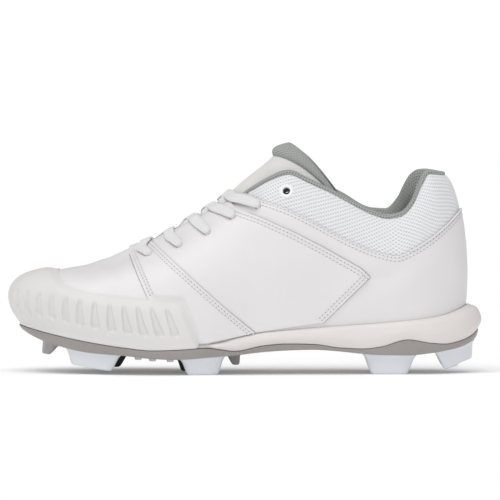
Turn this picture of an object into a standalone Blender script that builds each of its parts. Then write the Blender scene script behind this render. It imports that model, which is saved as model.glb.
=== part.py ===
"""A left softball shoe with moulded studs, standing empty on its studs.

+X points to the heel, -Y to the outer side of the foot and +Z up. Sizes and tables are in
millimetres, and meshes are made in metres. The upper is a wall of sections set round the foot:
each section starts at the feather edge, where the upper meets the sole, and ends on the top
line, which runs round the collar and down both edges of the throat.
"""

import math

import bmesh
import bpy
import numpy as np
from mathutils import Matrix, Vector

MM = 0.001
GAP = 0.3

# Driving sizes of the last and of the upper on it
FEATHER_HEEL_X = 131.5
FEATHER_TOE_X = -133.2
HEEL_ROUND = 0.16
TOE_ROUND = 0.28
HEEL_SQUARENESS = 2.1
TOE_SQUARENESS = 2.4
WALL = 2.2
COLLAR_PAD = 5.6
COLLAR_PAD_FROM = 0.45
LEATHER = 0.8
RAMP = 2.6

# How finely the pieces are divided
STATIONS = 60
LEATHER_LEVELS = (0.0, 0.07, 0.16, 0.28, 0.42, 0.58, 0.75, 0.89, 1.0)
LOOKUP = 240
STEP = 1e-4

# Sizes of the smaller pieces
INSOLE = 3.0
GUARD = 2.4
RIB_COUNT = 14
RIB_PITCH = 8.8
RIB_WIDTH = 4.6
RIB_FLOOR = 1.3
PANEL = 0.8
PANEL_UNDER = 0.45
TONGUE_MIDDLE = 1.3
TONGUE_CLEAR = 1.5
EYELET_HOLE = 2.2
EYELET_RING = 4.2
EYELET_THICK = 0.9
HOLE_DEPTH = 18.0
LACE_WIDTH = 7.0
LACE_THICK = 2.0
LACE_FLAT = 0.7
LACE_CLEAR = 0.9
LACE_AT_EDGE = 0.75
STUD_WIDTH = 11.0
STUD_INSET = 4.0
STUD_TAPER = 1.8
STUD_FROM_MIDDLE = 2.5
STUD_POINTS = 12
STUD_CORNER = 4.0
SHARP_DEGREES = 40

# Colour (linear) and roughness of each kind of piece, by the start of its name
LOOKS = {
    "outsole": ((0.37, 0.33, 0.31), 0.55),
    "midsole": ((0.81, 0.77, 0.73), 0.50),
    "insole": ((0.30, 0.31, 0.30), 0.90),
    "upper": ((0.80, 0.79, 0.80), 0.45),
    "toe_guard": ((0.82, 0.79, 0.77), 0.50),
    "tongue": ((0.78, 0.77, 0.73), 0.80),
    "side_panel": ((0.80, 0.79, 0.80), 0.42),
    "eyelet": ((0.85, 0.85, 0.86), 0.40),
    "lace": ((0.82, 0.81, 0.81), 0.85),
    "stud_fore_blade": ((0.01, 0.01, 0.01), 0.45),
    "stud_ball_blade": ((0.01, 0.01, 0.01), 0.45),
    "stud_toe": ((0.37, 0.33, 0.31), 0.55),
    "stud_pivot": ((0.37, 0.33, 0.31), 0.55),
    "stud": ((0.69, 0.72, 0.76), 0.40),
}


def table(columns, *rows):
    """A short table as a dict of columns."""
    return dict(zip(columns.split(), np.array(rows, float).T))


# Feather edge seen from above, by share of the way from heel to toe
PLAN = table(
    "share  centre  half",
    (0.00,  -0.7,   31.0),
    (0.15,  -0.7,   32.0),
    (0.30,  -2.2,   31.5),
    (0.45,  -4.7,   33.0),
    (0.60,  -4.2,   40.5),
    (0.70,  -1.7,   44.0),
    (0.80,   1.3,   44.0),
    (0.90,   4.3,   42.0),
    (1.00,   7.3,   38.0),
)

# Top line seen from above, by the same share: collar, throat edge, front of the throat
TOP_LINE = table(
    "share  along  centre  half",
    (0.00,  119.5,  -0.7,   26.0),
    (0.05,  110.0,  -0.7,   26.5),
    (0.15,   90.0,  -0.7,   27.5),
    (0.20,   78.8,  -0.7,   28.5),
    (0.30,   52.0,  -0.7,   29.5),
    (0.40,   26.2,  -0.2,   27.5),
    (0.50,    6.0,   0.3,   20.0),
    (0.60,  -14.0,   0.8,   15.5),
    (0.70,  -34.0,   1.3,   13.5),
    (0.80,  -49.0,   1.8,   12.5),
    (0.90,  -59.0,   2.3,   11.0),
    (1.00,  -64.0,   2.3,   10.0),
)

# Height of the top line, by place along the shoe, from heel to front of the throat
COLLAR = table(
    "along  outer  inner",
    (-64.0,  77.5,  77.5),
    (-59.0,  78.6,  78.6),
    (-34.0,  90.0,  90.0),
    (-14.0, 100.5, 100.5),
    (  6.2, 111.1, 111.1),
    ( 14.5, 115.8, 115.8),
    ( 26.2, 119.6, 119.6),
    ( 38.6, 114.4, 114.8),
    ( 57.4, 105.0, 106.0),
    ( 77.0,  95.2,  96.0),
    ( 85.0,  93.1,  96.4),
    ( 92.5,  94.3, 107.0),
    ( 96.6,  97.4, 114.5),
    (100.3, 102.5, 117.8),
    (105.2, 113.4, 119.8),
    (109.5, 119.6, 120.2),
    (119.5, 119.2, 119.2),
)

# Shape of each wall section: squareness of its turn, share of its height that is the turned
# dome (the rest is the ramp up the instep), and how far it bulges past the feather edge
SECTION = table(
    "share  square  dome  bulge",
    (0.00,   2.2,  1.00,  3.0),
    (0.15,   2.2,  1.00,  3.6),
    (0.30,   2.1,  1.00,  3.6),
    (0.45,   2.0,  0.94,  3.2),
    (0.60,   2.1,  0.86,  3.4),
    (0.75,   2.6,  0.78,  4.0),
    (0.90,   4.8,  0.68,  5.4),
    (1.00,   6.6,  0.64,  6.6),
)

# Levels of the sole, by place along the shoe: underside of the outsole, its joint with what is
# above it, the bed under the foot, and the top edge of the midsole's side
SOLE = table(
    "along  under  joint  bed   bite",
    (-136.0, 27.4,  28.6, 31.6, 31.6),
    (-127.0, 22.6,  26.4, 30.0, 30.0),
    (-116.0, 18.5,  23.8, 27.2, 27.2),
    ( -93.0, 13.5,  19.3, 22.6, 22.6),
    ( -70.0, 11.6,  15.9, 18.6, 18.6),
    ( -55.0, 10.0,  14.5, 17.2, 17.2),
    ( -40.0,  9.5,  14.9, 17.3, 17.3),
    ( -22.0, 10.6,  15.9, 18.2, 18.2),
    ( -15.0, 11.1,  15.2, 19.0, 19.0),
    (  -6.0, 11.7,  14.0, 20.2, 21.6),
    (  12.0, 13.7,  17.2, 22.8, 25.0),
    (  24.0, 14.5,  18.2, 24.0, 26.2),
    (  41.0, 14.9,  17.9, 25.2, 27.6),
    (  56.0, 13.9,  15.9, 25.8, 28.8),
    (  71.0, 12.4,  15.2, 26.2, 29.8),
    (  81.0, 11.8,  16.4, 26.4, 30.6),
    (  97.0, 11.8,  20.6, 26.8, 32.0),
    ( 112.0, 13.0,  18.4, 27.2, 33.8),
    ( 120.0, 14.2,  17.9, 27.6, 35.6),
    ( 128.0, 15.9,  19.4, 28.0, 38.6),
    ( 136.0, 19.2,  22.6, 28.4, 42.0),
    ( 142.0, 24.6,  28.0, 28.8, 42.6),
)

# How far the sole stands out past the feather edge, by share from heel to toe: the outsole's
# edge, the midsole's belly and its top lip past the upper
SOLE_SIDE = table(
    "share  edge  belly  lip",
    (0.00,   6.6,  10.6,  2.4),
    (0.04,   5.6,   8.6,  2.4),
    (0.15,   3.8,   5.8,  2.2),
    (0.30,   2.2,   4.6,  2.0),
    (0.45,   0.8,   3.4,  1.8),
    (0.55,   1.6,   3.4,  1.6),
    (0.65,   2.4,   2.6,  1.4),
    (1.00,   2.2,   2.4,  1.4),
)

# Lines on the upper in side view: outline of the toe guard, with its slanted rear end, ends of
# the pockets between its ribs, outline of the side panel from the throat to its rear corner, and
# the seam where the woven collar starts
GUARD_OUTLINE = table(
    "along  height",
    (-160.0,  5.0),
    (-160.0, 90.0),
    (-114.0, 90.0),
    (-112.0, 63.0),
    (-109.5, 58.0),
    (-105.5, 53.4),
    ( -93.3, 49.6),
    ( -74.0, 47.2),
    ( -51.0, 44.8),
    ( -37.0, 43.8),
    ( -26.5, 18.0),
    ( -25.0,  5.0),
)
RIBS = table(
    "along   low   high",
    (-140.0, 36.0, 52.0),
    (-116.0, 32.4, 48.6),
    ( -93.0, 27.8, 45.0),
    ( -70.0, 24.2, 41.8),
    ( -55.0, 22.8, 40.8),
    ( -40.0, 22.4, 39.8),
)
PANEL_OUTLINE = table(
    "along  height",
    (-57.3,  46.6),
    (-68.7,  71.5),
    (-67.0, 130.0),
    (-10.0, 130.0),
    ( -7.5, 101.5),
    ( -4.7,  97.9),
    ( 10.0,  93.0),
    ( 28.4,  85.0),
    ( 46.7,  75.6),
    ( 69.3,  63.0),
    ( 74.5,  58.0),
    ( 47.0,  31.2),
    ( 24.0,  28.4),
    (  6.0,  25.6),
    ( -8.0,  22.8),
    (-23.0,  19.8),
    (-24.6,  20.4),
    (-35.2,  45.2),
)
MESH_LINE = table(
    "along  height",
    ( -4.0, 125.0),
    (  0.9, 108.0),
    (  6.8, 104.9),
    ( 22.3,  99.7),
    ( 37.8,  92.5),
    ( 53.3,  84.2),
    ( 63.6,  79.0),
    ( 79.0,  72.9),
    ( 90.5,  70.6),
    ( 99.8,  73.9),
    (110.0,  80.0),
    (120.5,  88.4),
    (130.0,  98.0),
)
# Lace holes on the outer side, from the front of the throat, and where the lace in each of them
# crosses the middle; the inner side mirrors them, and the top hole is empty
LACE_HOLES = table(
    "row  along  height  middle",
    (1,  -56.7,   70.2,  -57.0),
    (2,  -38.7,   76.2,  -45.3),
    (3,  -21.9,   84.0,  -31.5),
    (4,   -6.9,   93.6,  -20.5),
    (5,    8.1,  100.2,  -11.0),
    (6,   24.9,  109.2,   24.9),
)

# Tongue, by share along the throat: where its middle runs, its thickness, and how far down
# inside the wall its wings reach
TONGUE = table(
    "share  along  height  thick  wing",
    (0.31,  26.5,  136.6,   7.5,  0.92),
    (0.33,  22.0,  134.4,   9.5,  0.91),
    (0.36,  18.2,  130.8,   9.0,  0.89),
    (0.40,  14.0,  126.6,   7.0,  0.87),
    (0.46,   7.0,  121.0,   6.0,  0.84),
    (0.52,  -0.6,  115.0,   5.5,  0.82),
    (0.60, -13.6,  104.6,   5.0,  0.80),
    (0.70, -33.0,   92.6,   4.5,  0.80),
    (0.80, -47.5,   83.6,   4.0,  0.80),
    (0.90, -57.0,   77.8,   3.5,  0.82),
    (1.00, -62.6,   74.4,   3.0,  0.84),
)

# Studs: place of the base and of the tip along the shoe, front and rear, and height of the tip.
# Paired ones follow the edge of the sole on the outer and the inner side.
PAIRED_STUDS = {
    "fore": dict(base=(-106.0, -73.5), tip=(-103.0, -78.6), tip_height=(5.6, 2.4)),
    "ball": dict(base=(-37.9, -12.0), tip=(-34.0, -15.4), tip_height=(0.0, 0.0)),
    "heel_front": dict(base=(70.8, 102.0), tip=(75.3, 97.1), tip_height=(0.0, 0.0)),
    "heel_back": dict(base=(113.4, 134.6), tip=(118.9, 133.6), tip_height=(2.8, 7.9)),
}
MIDDLE_STUDS = {
    "toe": dict(base=(-121.0, -110.0), tip=(-121.8, -116.6), tip_height=(11.0, 10.4), across=(-0.7, 13.3)),
    "pivot": dict(base=(-11.3, -2.5), tip=(-7.4, -3.0), tip_height=(4.5, 4.5), across=(-8.7, 0.3)),
    "fore_blade": dict(base=(-96.0, -69.4), tip=(-92.0, -74.7), tip_height=(4.4, 3.0), across=(-4.7, 5.3)),
    "ball_blade": dict(base=(-41.0, -16.0), tip=(-38.0, -20.0), tip_height=(0.8, 0.8), across=(-8.7, 1.3)),
}


def smooth(rows, column, at):
    """A curve through one column of a table that never overshoots its rows."""
    key = next(iter(rows))
    x, y = rows[key], rows[column]
    at = np.clip(np.asarray(at, float), x[0], x[-1])
    width = np.diff(x)
    rise = np.diff(y) / width
    slope = np.concatenate([rise[:1], np.zeros(len(x) - 2), rise[-1:]])
    before, after = 2 * width[1:] + width[:-1], width[1:] + 2 * width[:-1]
    same_way = rise[:-1] * rise[1:] > 0
    safe_before = np.where(same_way, rise[:-1], 1.0)
    safe_after = np.where(same_way, rise[1:], 1.0)
    mean = (before + after) / (before / safe_before + after / safe_after)
    slope[1:-1] = np.where(same_way, mean, 0.0)
    i = np.clip(np.searchsorted(x, at, side="right") - 1, 0, len(x) - 2)
    t = (at - x[i]) / width[i]
    return (
        y[i] * (1 + 2 * t) * (1 - t) ** 2
        + slope[i] * width[i] * t * (1 - t) ** 2
        + y[i + 1] * t**2 * (3 - 2 * t)
        - slope[i + 1] * width[i] * t**2 * (1 - t)
    )


def ease(start, end, at):
    """0 before start, 1 after end, and a soft step between them."""
    t = np.clip((np.asarray(at, float) - start) / (end - start), 0, 1)
    return t * t * (3 - 2 * t)


# The upper's own function. u runs once round the shoe from the heel: to 0.5 along the outer
# side, where it reaches the toe, and back along the inner side. v climbs the wall from 0 at the
# feather edge to 1 on the top line.


def share_of(u):
    return (1 - np.cos(2 * math.pi * u)) / 2


def side_of(u):
    return np.where(np.mod(u, 1.0) < 0.5, -1.0, 1.0)


def end_rounding(share):
    heel = np.clip(1 - share / HEEL_ROUND, 0, 1)
    toe = np.clip(1 - (1 - share) / TOE_ROUND, 0, 1)
    heel_part = np.clip(1 - heel**HEEL_SQUARENESS, 0, 1) ** (1 / HEEL_SQUARENESS)
    toe_part = np.clip(1 - toe**TOE_SQUARENESS, 0, 1) ** (1 / TOE_SQUARENESS)
    return heel_part * toe_part


def feather(u):
    """Point of the feather edge."""
    share = share_of(u)
    x = FEATHER_HEEL_X + share * (FEATHER_TOE_X - FEATHER_HEEL_X)
    y = smooth(PLAN, "centre", share) + side_of(u) * smooth(PLAN, "half", share) * end_rounding(share)
    z = smooth(SOLE, "bed", x) + GAP
    return np.stack([x, y, z], -1)


def top_line(u):
    """Point of the top line."""
    share = share_of(u)
    x = smooth(TOP_LINE, "along", share)
    half = smooth(TOP_LINE, "half", share) * end_rounding(share)
    y = smooth(TOP_LINE, "centre", share) + side_of(u) * half
    z = np.where(side_of(u) < 0, smooth(COLLAR, "outer", x), smooth(COLLAR, "inner", x))
    return np.stack([x, y, z], -1)


def outward(u):
    """Level direction out of the feather edge."""
    along = feather(u + STEP) - feather(u - STEP)
    across = np.stack([along[..., 1], -along[..., 0]], -1) * -1.0
    return across / np.linalg.norm(across, axis=-1, keepdims=True)


def bare_wall(u, v):
    """Point of the upper's outer face."""
    u, v = np.broadcast_arrays(np.asarray(u, float), np.asarray(v, float))
    share = share_of(u)
    foot, top = feather(u), top_line(u)
    square, dome = smooth(SECTION, "square", share), smooth(SECTION, "dome", share)
    cos, sin = np.cos(v * math.pi / 2), np.sin(v * math.pi / 2)
    reach = (np.abs(cos) ** square + np.abs(sin) ** square) ** (-1 / square)
    inward, climb = 1 - cos * reach, sin * reach
    level = np.clip(climb, 0, 1)
    bulge = smooth(SECTION, "bulge", share) * 4 * level * (1 - level)
    plan = foot[..., :2] + (top - foot)[..., :2] * inward[..., None] + outward(u) * bulge[..., None]
    rise = (top - foot)[..., 2] * (dome * climb + (1 - dome) * np.abs(inward) ** RAMP)
    return np.concatenate([plan, (foot[..., 2] + rise)[..., None]], -1)


def wall(u, v, out=0.0):
    """Point at a distance out of the upper's outer face, measured square to it."""
    around = bare_wall(u + STEP, v) - bare_wall(u - STEP, v)
    up = bare_wall(u, v + STEP) - bare_wall(u, v - STEP)
    normal = np.cross(up, around)
    normal /= np.linalg.norm(normal, axis=-1, keepdims=True)
    return bare_wall(u, v) + normal * np.asarray(out, float)[..., None]


def inside(u, v, depth):
    """Point inside the wall: square to it in front, level round the ankle and the heel."""
    share = share_of(u)
    square = bare_wall(u, v) - wall(u, v, np.ones(np.shape(u)))
    level = np.concatenate([-outward(u), np.zeros(np.shape(u) + (1,))], -1)
    mix = ease(0.42, 0.62, share)[..., None]
    way = level * (1 - mix) + square * mix
    way /= np.linalg.norm(way, axis=-1, keepdims=True)
    return bare_wall(u, v) + way * np.asarray(depth, float)[..., None]


def wall_thickness(u, v):
    """The upper's wall: plain leather, with foam towards the collar."""
    share = share_of(u)
    padded = ease(0.54, 0.44, share) * ease(COLLAR_PAD_FROM, 0.85, v)
    return WALL + COLLAR_PAD * padded


def level_on_wall(u, line, column="height"):
    """The v at which each section climbs past a line drawn in side view."""
    v = np.linspace(0, 1, LOOKUP)
    found = []
    for one in np.atleast_1d(u):
        points = bare_wall(np.full(LOOKUP, one), v)
        above = points[:, 2] - smooth(line, column, points[:, 0])
        crossing = np.argmax(above > 0)
        if above[0] > 0 or crossing == 0:
            found.append(0.0 if above[0] > 0 else 1.0)
        else:
            part = above[crossing - 1] / (above[crossing - 1] - above[crossing])
            found.append(v[crossing - 1] + part * (v[1] - v[0]))
    return np.array(found)


def place_on_wall(along, height, side):
    """The u and v of a point given in side view."""
    u, v = np.meshgrid(np.linspace(0.02, 0.49, LOOKUP), np.linspace(0.2, 1, LOOKUP))
    points = bare_wall(u, v)
    miss = np.hypot(points[..., 0] - along, points[..., 2] - height)
    best = np.unravel_index(np.argmin(miss), miss.shape)
    return (u[best] if side < 0 else 1 - u[best]), v[best]


def level_with(u, value):
    return np.full(np.shape(u), float(value))


# Making solids from sections


def finish_mesh(mesh):
    """Welds a mesh, makes its faces flat triangles and turns them outwards."""
    bm = bmesh.new()
    bm.from_mesh(mesh)
    bmesh.ops.remove_doubles(bm, verts=bm.verts, dist=0.02 * MM)
    bmesh.ops.triangulate(bm, faces=bm.faces)
    bmesh.ops.recalc_face_normals(bm, faces=bm.faces)
    bm.to_mesh(mesh)
    bm.free()


def new_object(name, points, faces):
    mesh = bpy.data.meshes.new(name)
    mesh.from_pydata([tuple(p) for p in np.asarray(points) * MM], [], faces)
    finish_mesh(mesh)
    piece = bpy.data.objects.new(name, mesh)
    shoe.objects.link(piece)
    return piece


def ring_faces(rings, around, closed_round, closed_up):
    """Quads between neighbouring rings of a grid of points."""
    faces = []
    for r in range(rings if closed_up else rings - 1):
        for a in range(around if closed_round else around - 1):
            b, s = (a + 1) % around, (r + 1) % rings
            faces.append((r * around + a, r * around + b, s * around + b, s * around + a))
    return faces


def ladder_faces(first, around):
    """A cap over a ring, by rungs from each outer station to the inner one across from it."""
    faces = []
    for a in range(around // 2):
        left, right = a, (around - a) % around
        left_next, right_next = a + 1, around - a - 1
        corners = [first + left, first + left_next, first + right_next, first + right]
        faces.append(tuple(dict.fromkeys(corners)))
    return faces


def capped(name, rings):
    """A closed solid through whole rings, capped at both ends."""
    around = len(rings[0])
    faces = ring_faces(len(rings), around, True, False)
    faces += ladder_faces(0, around) + ladder_faces((len(rings) - 1) * around, around)
    return new_object(name, np.concatenate(rings), faces)


def looped(name, rings):
    """A closed hollow solid whose last ring joins its first."""
    around = len(rings[0])
    return new_object(name, np.concatenate(rings), ring_faces(len(rings), around, True, True))


def strip(name, sections):
    """A closed solid through a row of closed sections, its two end sections filled."""
    across = len(sections[0])
    faces = ring_faces(len(sections), across, True, False)
    faces += [tuple(range(across)), tuple(range((len(sections) - 1) * across, len(sections) * across))]
    return new_object(name, np.concatenate(sections), faces)


def modify(piece, kind, **settings):
    """Adds a modifier to a piece and applies it."""
    modifier = piece.modifiers.new(kind.title(), kind)
    for key, value in settings.items():
        setattr(modifier, key, value)
    bpy.context.view_layer.objects.active = piece
    bpy.ops.object.modifier_apply(modifier=modifier.name)


def keep(piece, cutter):
    modify(piece, "BOOLEAN", operation="INTERSECT", solver="EXACT", object=cutter)


def cut(piece, cutter):
    modify(piece, "BOOLEAN", operation="DIFFERENCE", solver="EXACT", object=cutter)


# Upper


def leather_top(u):
    """Where the leather of each section ends: at the seam of the woven collar or by the throat."""
    return np.minimum(level_on_wall(u, MESH_LINE), 0.97)


def make_upper():
    u = np.arange(STATIONS) / STATIONS
    seam = leather_top(u)
    step = LEATHER * ease(0.56, 0.50, share_of(u))
    rings = []
    for part in LEATHER_LEVELS:
        rings.append(wall(u, seam * part, np.zeros_like(u)))
    for part in (0.02, 0.35, 0.7, 1.0):
        rings.append(wall(u, seam + (1 - seam) * part, -step))
    thick = wall_thickness(u, np.ones_like(u))
    crown = rings[-1] - rings[-2]
    crown /= np.linalg.norm(crown, axis=-1, keepdims=True)
    for across in (0.25, 0.5, 0.8):
        lift = np.sin(math.pi * across) * (thick - WALL * 0.6) * 0.5
        rings.append(inside(u, np.ones_like(u), step + (thick - step) * across) + crown * lift[:, None])
    for v in (1.0, 0.90, 0.77, 0.60, 0.40, 0.20, 0.0):
        level = level_with(u, v)
        rings.append(inside(u, level, wall_thickness(u, level)))
    return looped("upper", rings)


def as_cutter(piece):
    """Keeps a piece as a cutter only."""
    for collection in list(piece.users_collection):
        collection.objects.unlink(piece)
    cutters.objects.link(piece)
    piece.hide_render = True
    piece.display_type = "WIRE"
    return piece


def outline_prism(name, outline, middle, half):
    """A cutter from an outline drawn in side view, through the shoe from side to side."""
    curve = bpy.data.curves.new(name, "CURVE")
    curve.dimensions = "2D"
    curve.fill_mode = "BOTH"
    curve.extrude = half * MM
    spline = curve.splines.new("POLY")
    spline.points.add(len(outline["along"]) - 1)
    for point, x, z in zip(spline.points, outline["along"], outline["height"]):
        point.co = (x * MM, z * MM, 0, 1)
    spline.use_cyclic_u = True
    drawn = bpy.data.objects.new(name, curve)
    cutters.objects.link(drawn)
    mesh = bpy.data.meshes.new_from_object(drawn.evaluated_get(bpy.context.evaluated_depsgraph_get()))
    bpy.data.objects.remove(drawn)
    upright = Matrix.Translation((0, middle * MM, 0)) @ Matrix.Rotation(math.pi / 2, 4, "X")
    mesh.transform(upright)
    finish_mesh(mesh)
    return as_cutter(bpy.data.objects.new(name, mesh))


def make_side_panel(name, side):
    u = np.arange(STATIONS + 1) / STATIONS
    u = u[(u > 0.13) & (u < 0.46)]
    u = u if side < 0 else 1 - u
    sections = []
    for one, top in zip(u, leather_top(u)):
        v = top * np.array(LEATHER_LEVELS[1:])
        here = np.full(len(v), one)
        face = wall(here, v, level_with(v, PANEL_UNDER + PANEL))
        back = wall(here, v, level_with(v, PANEL_UNDER))
        sections.append(np.concatenate([face, back[::-1]]))
    panel = strip(name, sections)
    keep(panel, outline_prism("panel_cutter", PANEL_OUTLINE, side * 30.0, 50.0))
    return panel


def rib_cutters():
    """The upright pockets round the toe guard that leave its ribs standing."""
    u = np.linspace(0.5, 0.25, LOOKUP)
    steps = np.linalg.norm(np.diff(feather(u)[:, :2], axis=0), axis=1)
    from_toe = np.concatenate([[0], np.cumsum(steps)])
    places = np.interp(np.arange(RIB_COUNT) * RIB_PITCH, from_toe, u)
    for one in np.concatenate([places, 1 - places[1:]]):
        ends = [level_on_wall(one, RIBS, column)[0] for column in ("low", "high")]
        v = np.linspace(*ends, 3)
        here = np.full(len(v), one)
        along = bare_wall(here + STEP, v) - bare_wall(here - STEP, v)
        along *= RIB_WIDTH / 2 / np.linalg.norm(along, axis=1, keepdims=True)
        floor = wall(here, v, level_with(v, RIB_FLOOR))
        above = wall(here, v, level_with(v, GUARD + 3.0))
        corners = np.stack([floor - along, floor + along, above + along, above - along], 1)
        yield as_cutter(strip("rib_cutter", corners))


def make_toe_guard():
    u = np.arange(STATIONS + 1) / STATIONS
    u = u[(u > 0.26) & (u < 0.74)]
    sections = []
    for one in u:
        v = 0.97 * np.array(LEATHER_LEVELS[:-1])
        here = np.full(len(v), one)
        face = wall(here, v, level_with(v, GUARD))
        back = wall(here, v, level_with(v, GAP))
        low = sole_ring(here[:1], smooth(SOLE_SIDE, "edge", share_of(here[:1])) - 0.2, "joint", GAP)
        low_back = sole_ring(here[:1], GAP, "joint", GAP)
        sections.append(np.concatenate([low, face, back[::-1], low_back]))
    guard = strip("toe_guard", sections)
    keep(guard, outline_prism("guard_cutter", GUARD_OUTLINE, 0.0, 80.0))
    for cutter in rib_cutters():
        cut(guard, cutter)
    return guard


# Tongue


def u_of(share, side):
    u = np.arccos(1 - 2 * np.asarray(share, float)) / (2 * math.pi)
    return np.where(np.asarray(side) < 0, u, 1 - u)


def tongue_point(u, part):
    """Point of the tongue's face and the way into it. part is 0 under the edge of the throat and 1
    along the middle; below 0 it is the wing, down inside the wall."""
    share = share_of(u)
    along, height = smooth(TONGUE, "along", share), smooth(TONGUE, "height", share)
    middle = np.stack([along, level_with(u, TONGUE_MIDDLE), height], -1)
    wing = smooth(TONGUE, "wing", share)
    v = 1 + np.minimum(part, 0) * (1 - wing)
    depth = wall_thickness(u, v) + TONGUE_CLEAR
    edge = inside(u, v, depth)
    edge_way = inside(u, v, depth + 1) - edge
    ahead = np.stack([smooth(TONGUE, "along", share - 0.01), smooth(TONGUE, "height", share - 0.01)], -1)
    behind = np.stack([smooth(TONGUE, "along", share + 0.01), smooth(TONGUE, "height", share + 0.01)], -1)
    run = ahead - behind
    middle_way = np.stack([run[..., 1], np.zeros_like(share), -run[..., 0]], -1)
    middle_way /= np.linalg.norm(middle_way, axis=-1, keepdims=True)
    part = np.clip(part, 0, 1)[..., None]
    back, rise = 1 - (1 - part) ** 2, 1 - (1 - part) ** 3
    point = edge + (middle - edge) * np.concatenate([back, part, rise], -1)
    way = edge_way * (1 - part) + middle_way * part
    return point, way / np.linalg.norm(way, axis=-1, keepdims=True)


def make_tongue():
    share = np.linspace(TONGUE["share"][0], 0.975, 17)
    u = np.concatenate([u_of(share, -1), u_of(share[::-1], 1)])
    face, back = [], []
    for part in (-1.0, -0.5, 0.0, 0.3, 0.62, 1.0):
        point, way = tongue_point(u, level_with(u, part))
        thick = smooth(TONGUE, "thick", share_of(u)) * np.interp(part, (-1, 0, 0.6), (0.25, 0.6, 1.0))
        face.append(point)
        back.append(point + way * thick[:, None])
    rows, columns = len(face), len(u)
    faces = ring_faces(rows, columns, False, False)
    faces += [tuple(i + rows * columns for i in reversed(quad)) for quad in faces]
    far = rows * columns
    for j in range(columns - 1):
        faces.append((j, j + 1, far + j + 1, far + j))
    for r in range(rows - 1):
        for end in (0, columns - 1):
            a, b = r * columns + end, (r + 1) * columns + end
            faces.append((a, b, far + b, far + a))
    return new_object("tongue", np.concatenate(face + back), faces)


# Eyelets and lace


def hole_place(row, side):
    i = int(row) - 1
    return place_on_wall(LACE_HOLES["along"][i], LACE_HOLES["height"][i], side)


def stand_on_wall(piece, row, side, out):
    """Turns a piece that was made round the Z axis onto a lace hole, its Z out of the wall."""
    u, v = (np.array([value]) for value in hole_place(row, side))
    origin = Vector(bare_wall(u, v)[0])
    normal = Vector(wall(u, v, np.ones(1))[0]) - origin
    turn = normal.to_track_quat("Z", "Y").to_matrix().to_4x4()
    piece.data.transform(Matrix.Translation((origin + normal * out) * MM) @ turn)
    finish_mesh(piece.data)
    return piece


def hole_cutter(row, side):
    bpy.ops.mesh.primitive_cylinder_add(vertices=8, radius=EYELET_HOLE * MM, depth=HOLE_DEPTH * MM)
    cutter = bpy.context.object
    cutter.name = f"hole_cutter_{int(row)}"
    return as_cutter(stand_on_wall(cutter, row, side, 4.0 - HOLE_DEPTH / 2))


def make_eyelet(name, side):
    middle = (EYELET_HOLE + EYELET_RING) / 2
    bpy.ops.mesh.primitive_torus_add(
        major_radius=middle * MM,
        minor_radius=(EYELET_RING - middle) * MM,
        major_segments=16,
        minor_segments=6,
    )
    ring = bpy.context.object
    ring.name = name
    ring.data.transform(Matrix.Diagonal((1, 1, EYELET_THICK / (EYELET_RING - EYELET_HOLE), 1)))
    for collection in list(ring.users_collection):
        collection.objects.unlink(ring)
    shoe.objects.link(ring)
    return stand_on_wall(ring, 6, side, GAP - LEATHER + EYELET_THICK / 2)


def curve_through(points, count):
    """A smooth path through a few points."""
    points = np.asarray(points, float)
    padded = np.concatenate([2 * points[:1] - points[1:2], points, 2 * points[-1:] - points[-2:-1]])
    place = np.linspace(0, len(points) - 1, count)
    i = np.minimum(place.astype(int), len(points) - 2)
    t = (place - i)[:, None]
    p0, p1, p2, p3 = padded[i], padded[i + 1], padded[i + 2], padded[i + 3]
    bend = 2 * p0 - 5 * p1 + 4 * p2 - p3
    twist = 3 * p1 - p0 - 3 * p2 + p3
    return 0.5 * (2 * p1 + (p2 - p0) * t + bend * t**2 + twist * t**3)


def band(name, points, ways, count):
    """A flat lace along a path, its flat faces square to the given ways."""
    path, way = curve_through(points, count), curve_through(ways, count)
    run = np.gradient(path, axis=0)
    run /= np.linalg.norm(run, axis=1, keepdims=True)
    way -= run * np.sum(run * way, axis=1, keepdims=True)
    way /= np.linalg.norm(way, axis=1, keepdims=True)
    across = np.cross(run, way)
    half, thick = LACE_WIDTH / 2, LACE_THICK / 2
    flat = half * LACE_FLAT
    profile = ((-half, 0), (-flat, thick), (flat, thick), (half, 0), (flat, -thick), (-flat, -thick))
    sections = []
    for p, a, w in zip(path, across, way):
        sections.append([p + a * x + w * y for x, y in profile])
    return strip(name, np.array(sections))


def lace_on_wall(u, v):
    """Middle of the lace, and its face, where it lies on the side panel."""
    u, v = np.array([u]), np.array([v])
    out = PANEL_UNDER + PANEL + LACE_CLEAR + LACE_THICK / 2
    point = wall(u, v, np.array([out]))[0]
    return point, point - wall(u, v, np.array([out - 1]))[0]


def lace_on_tongue(share, side, part):
    point, way = tongue_point(u_of([share], side), np.array([part]))
    return point[0] - way[0] * (LACE_CLEAR + LACE_THICK / 2), -way[0]


def share_at(rows, along):
    """The share at which a table that runs towards the toe passes a place along the shoe."""
    return np.interp(-along, -rows["along"], rows["share"])


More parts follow.
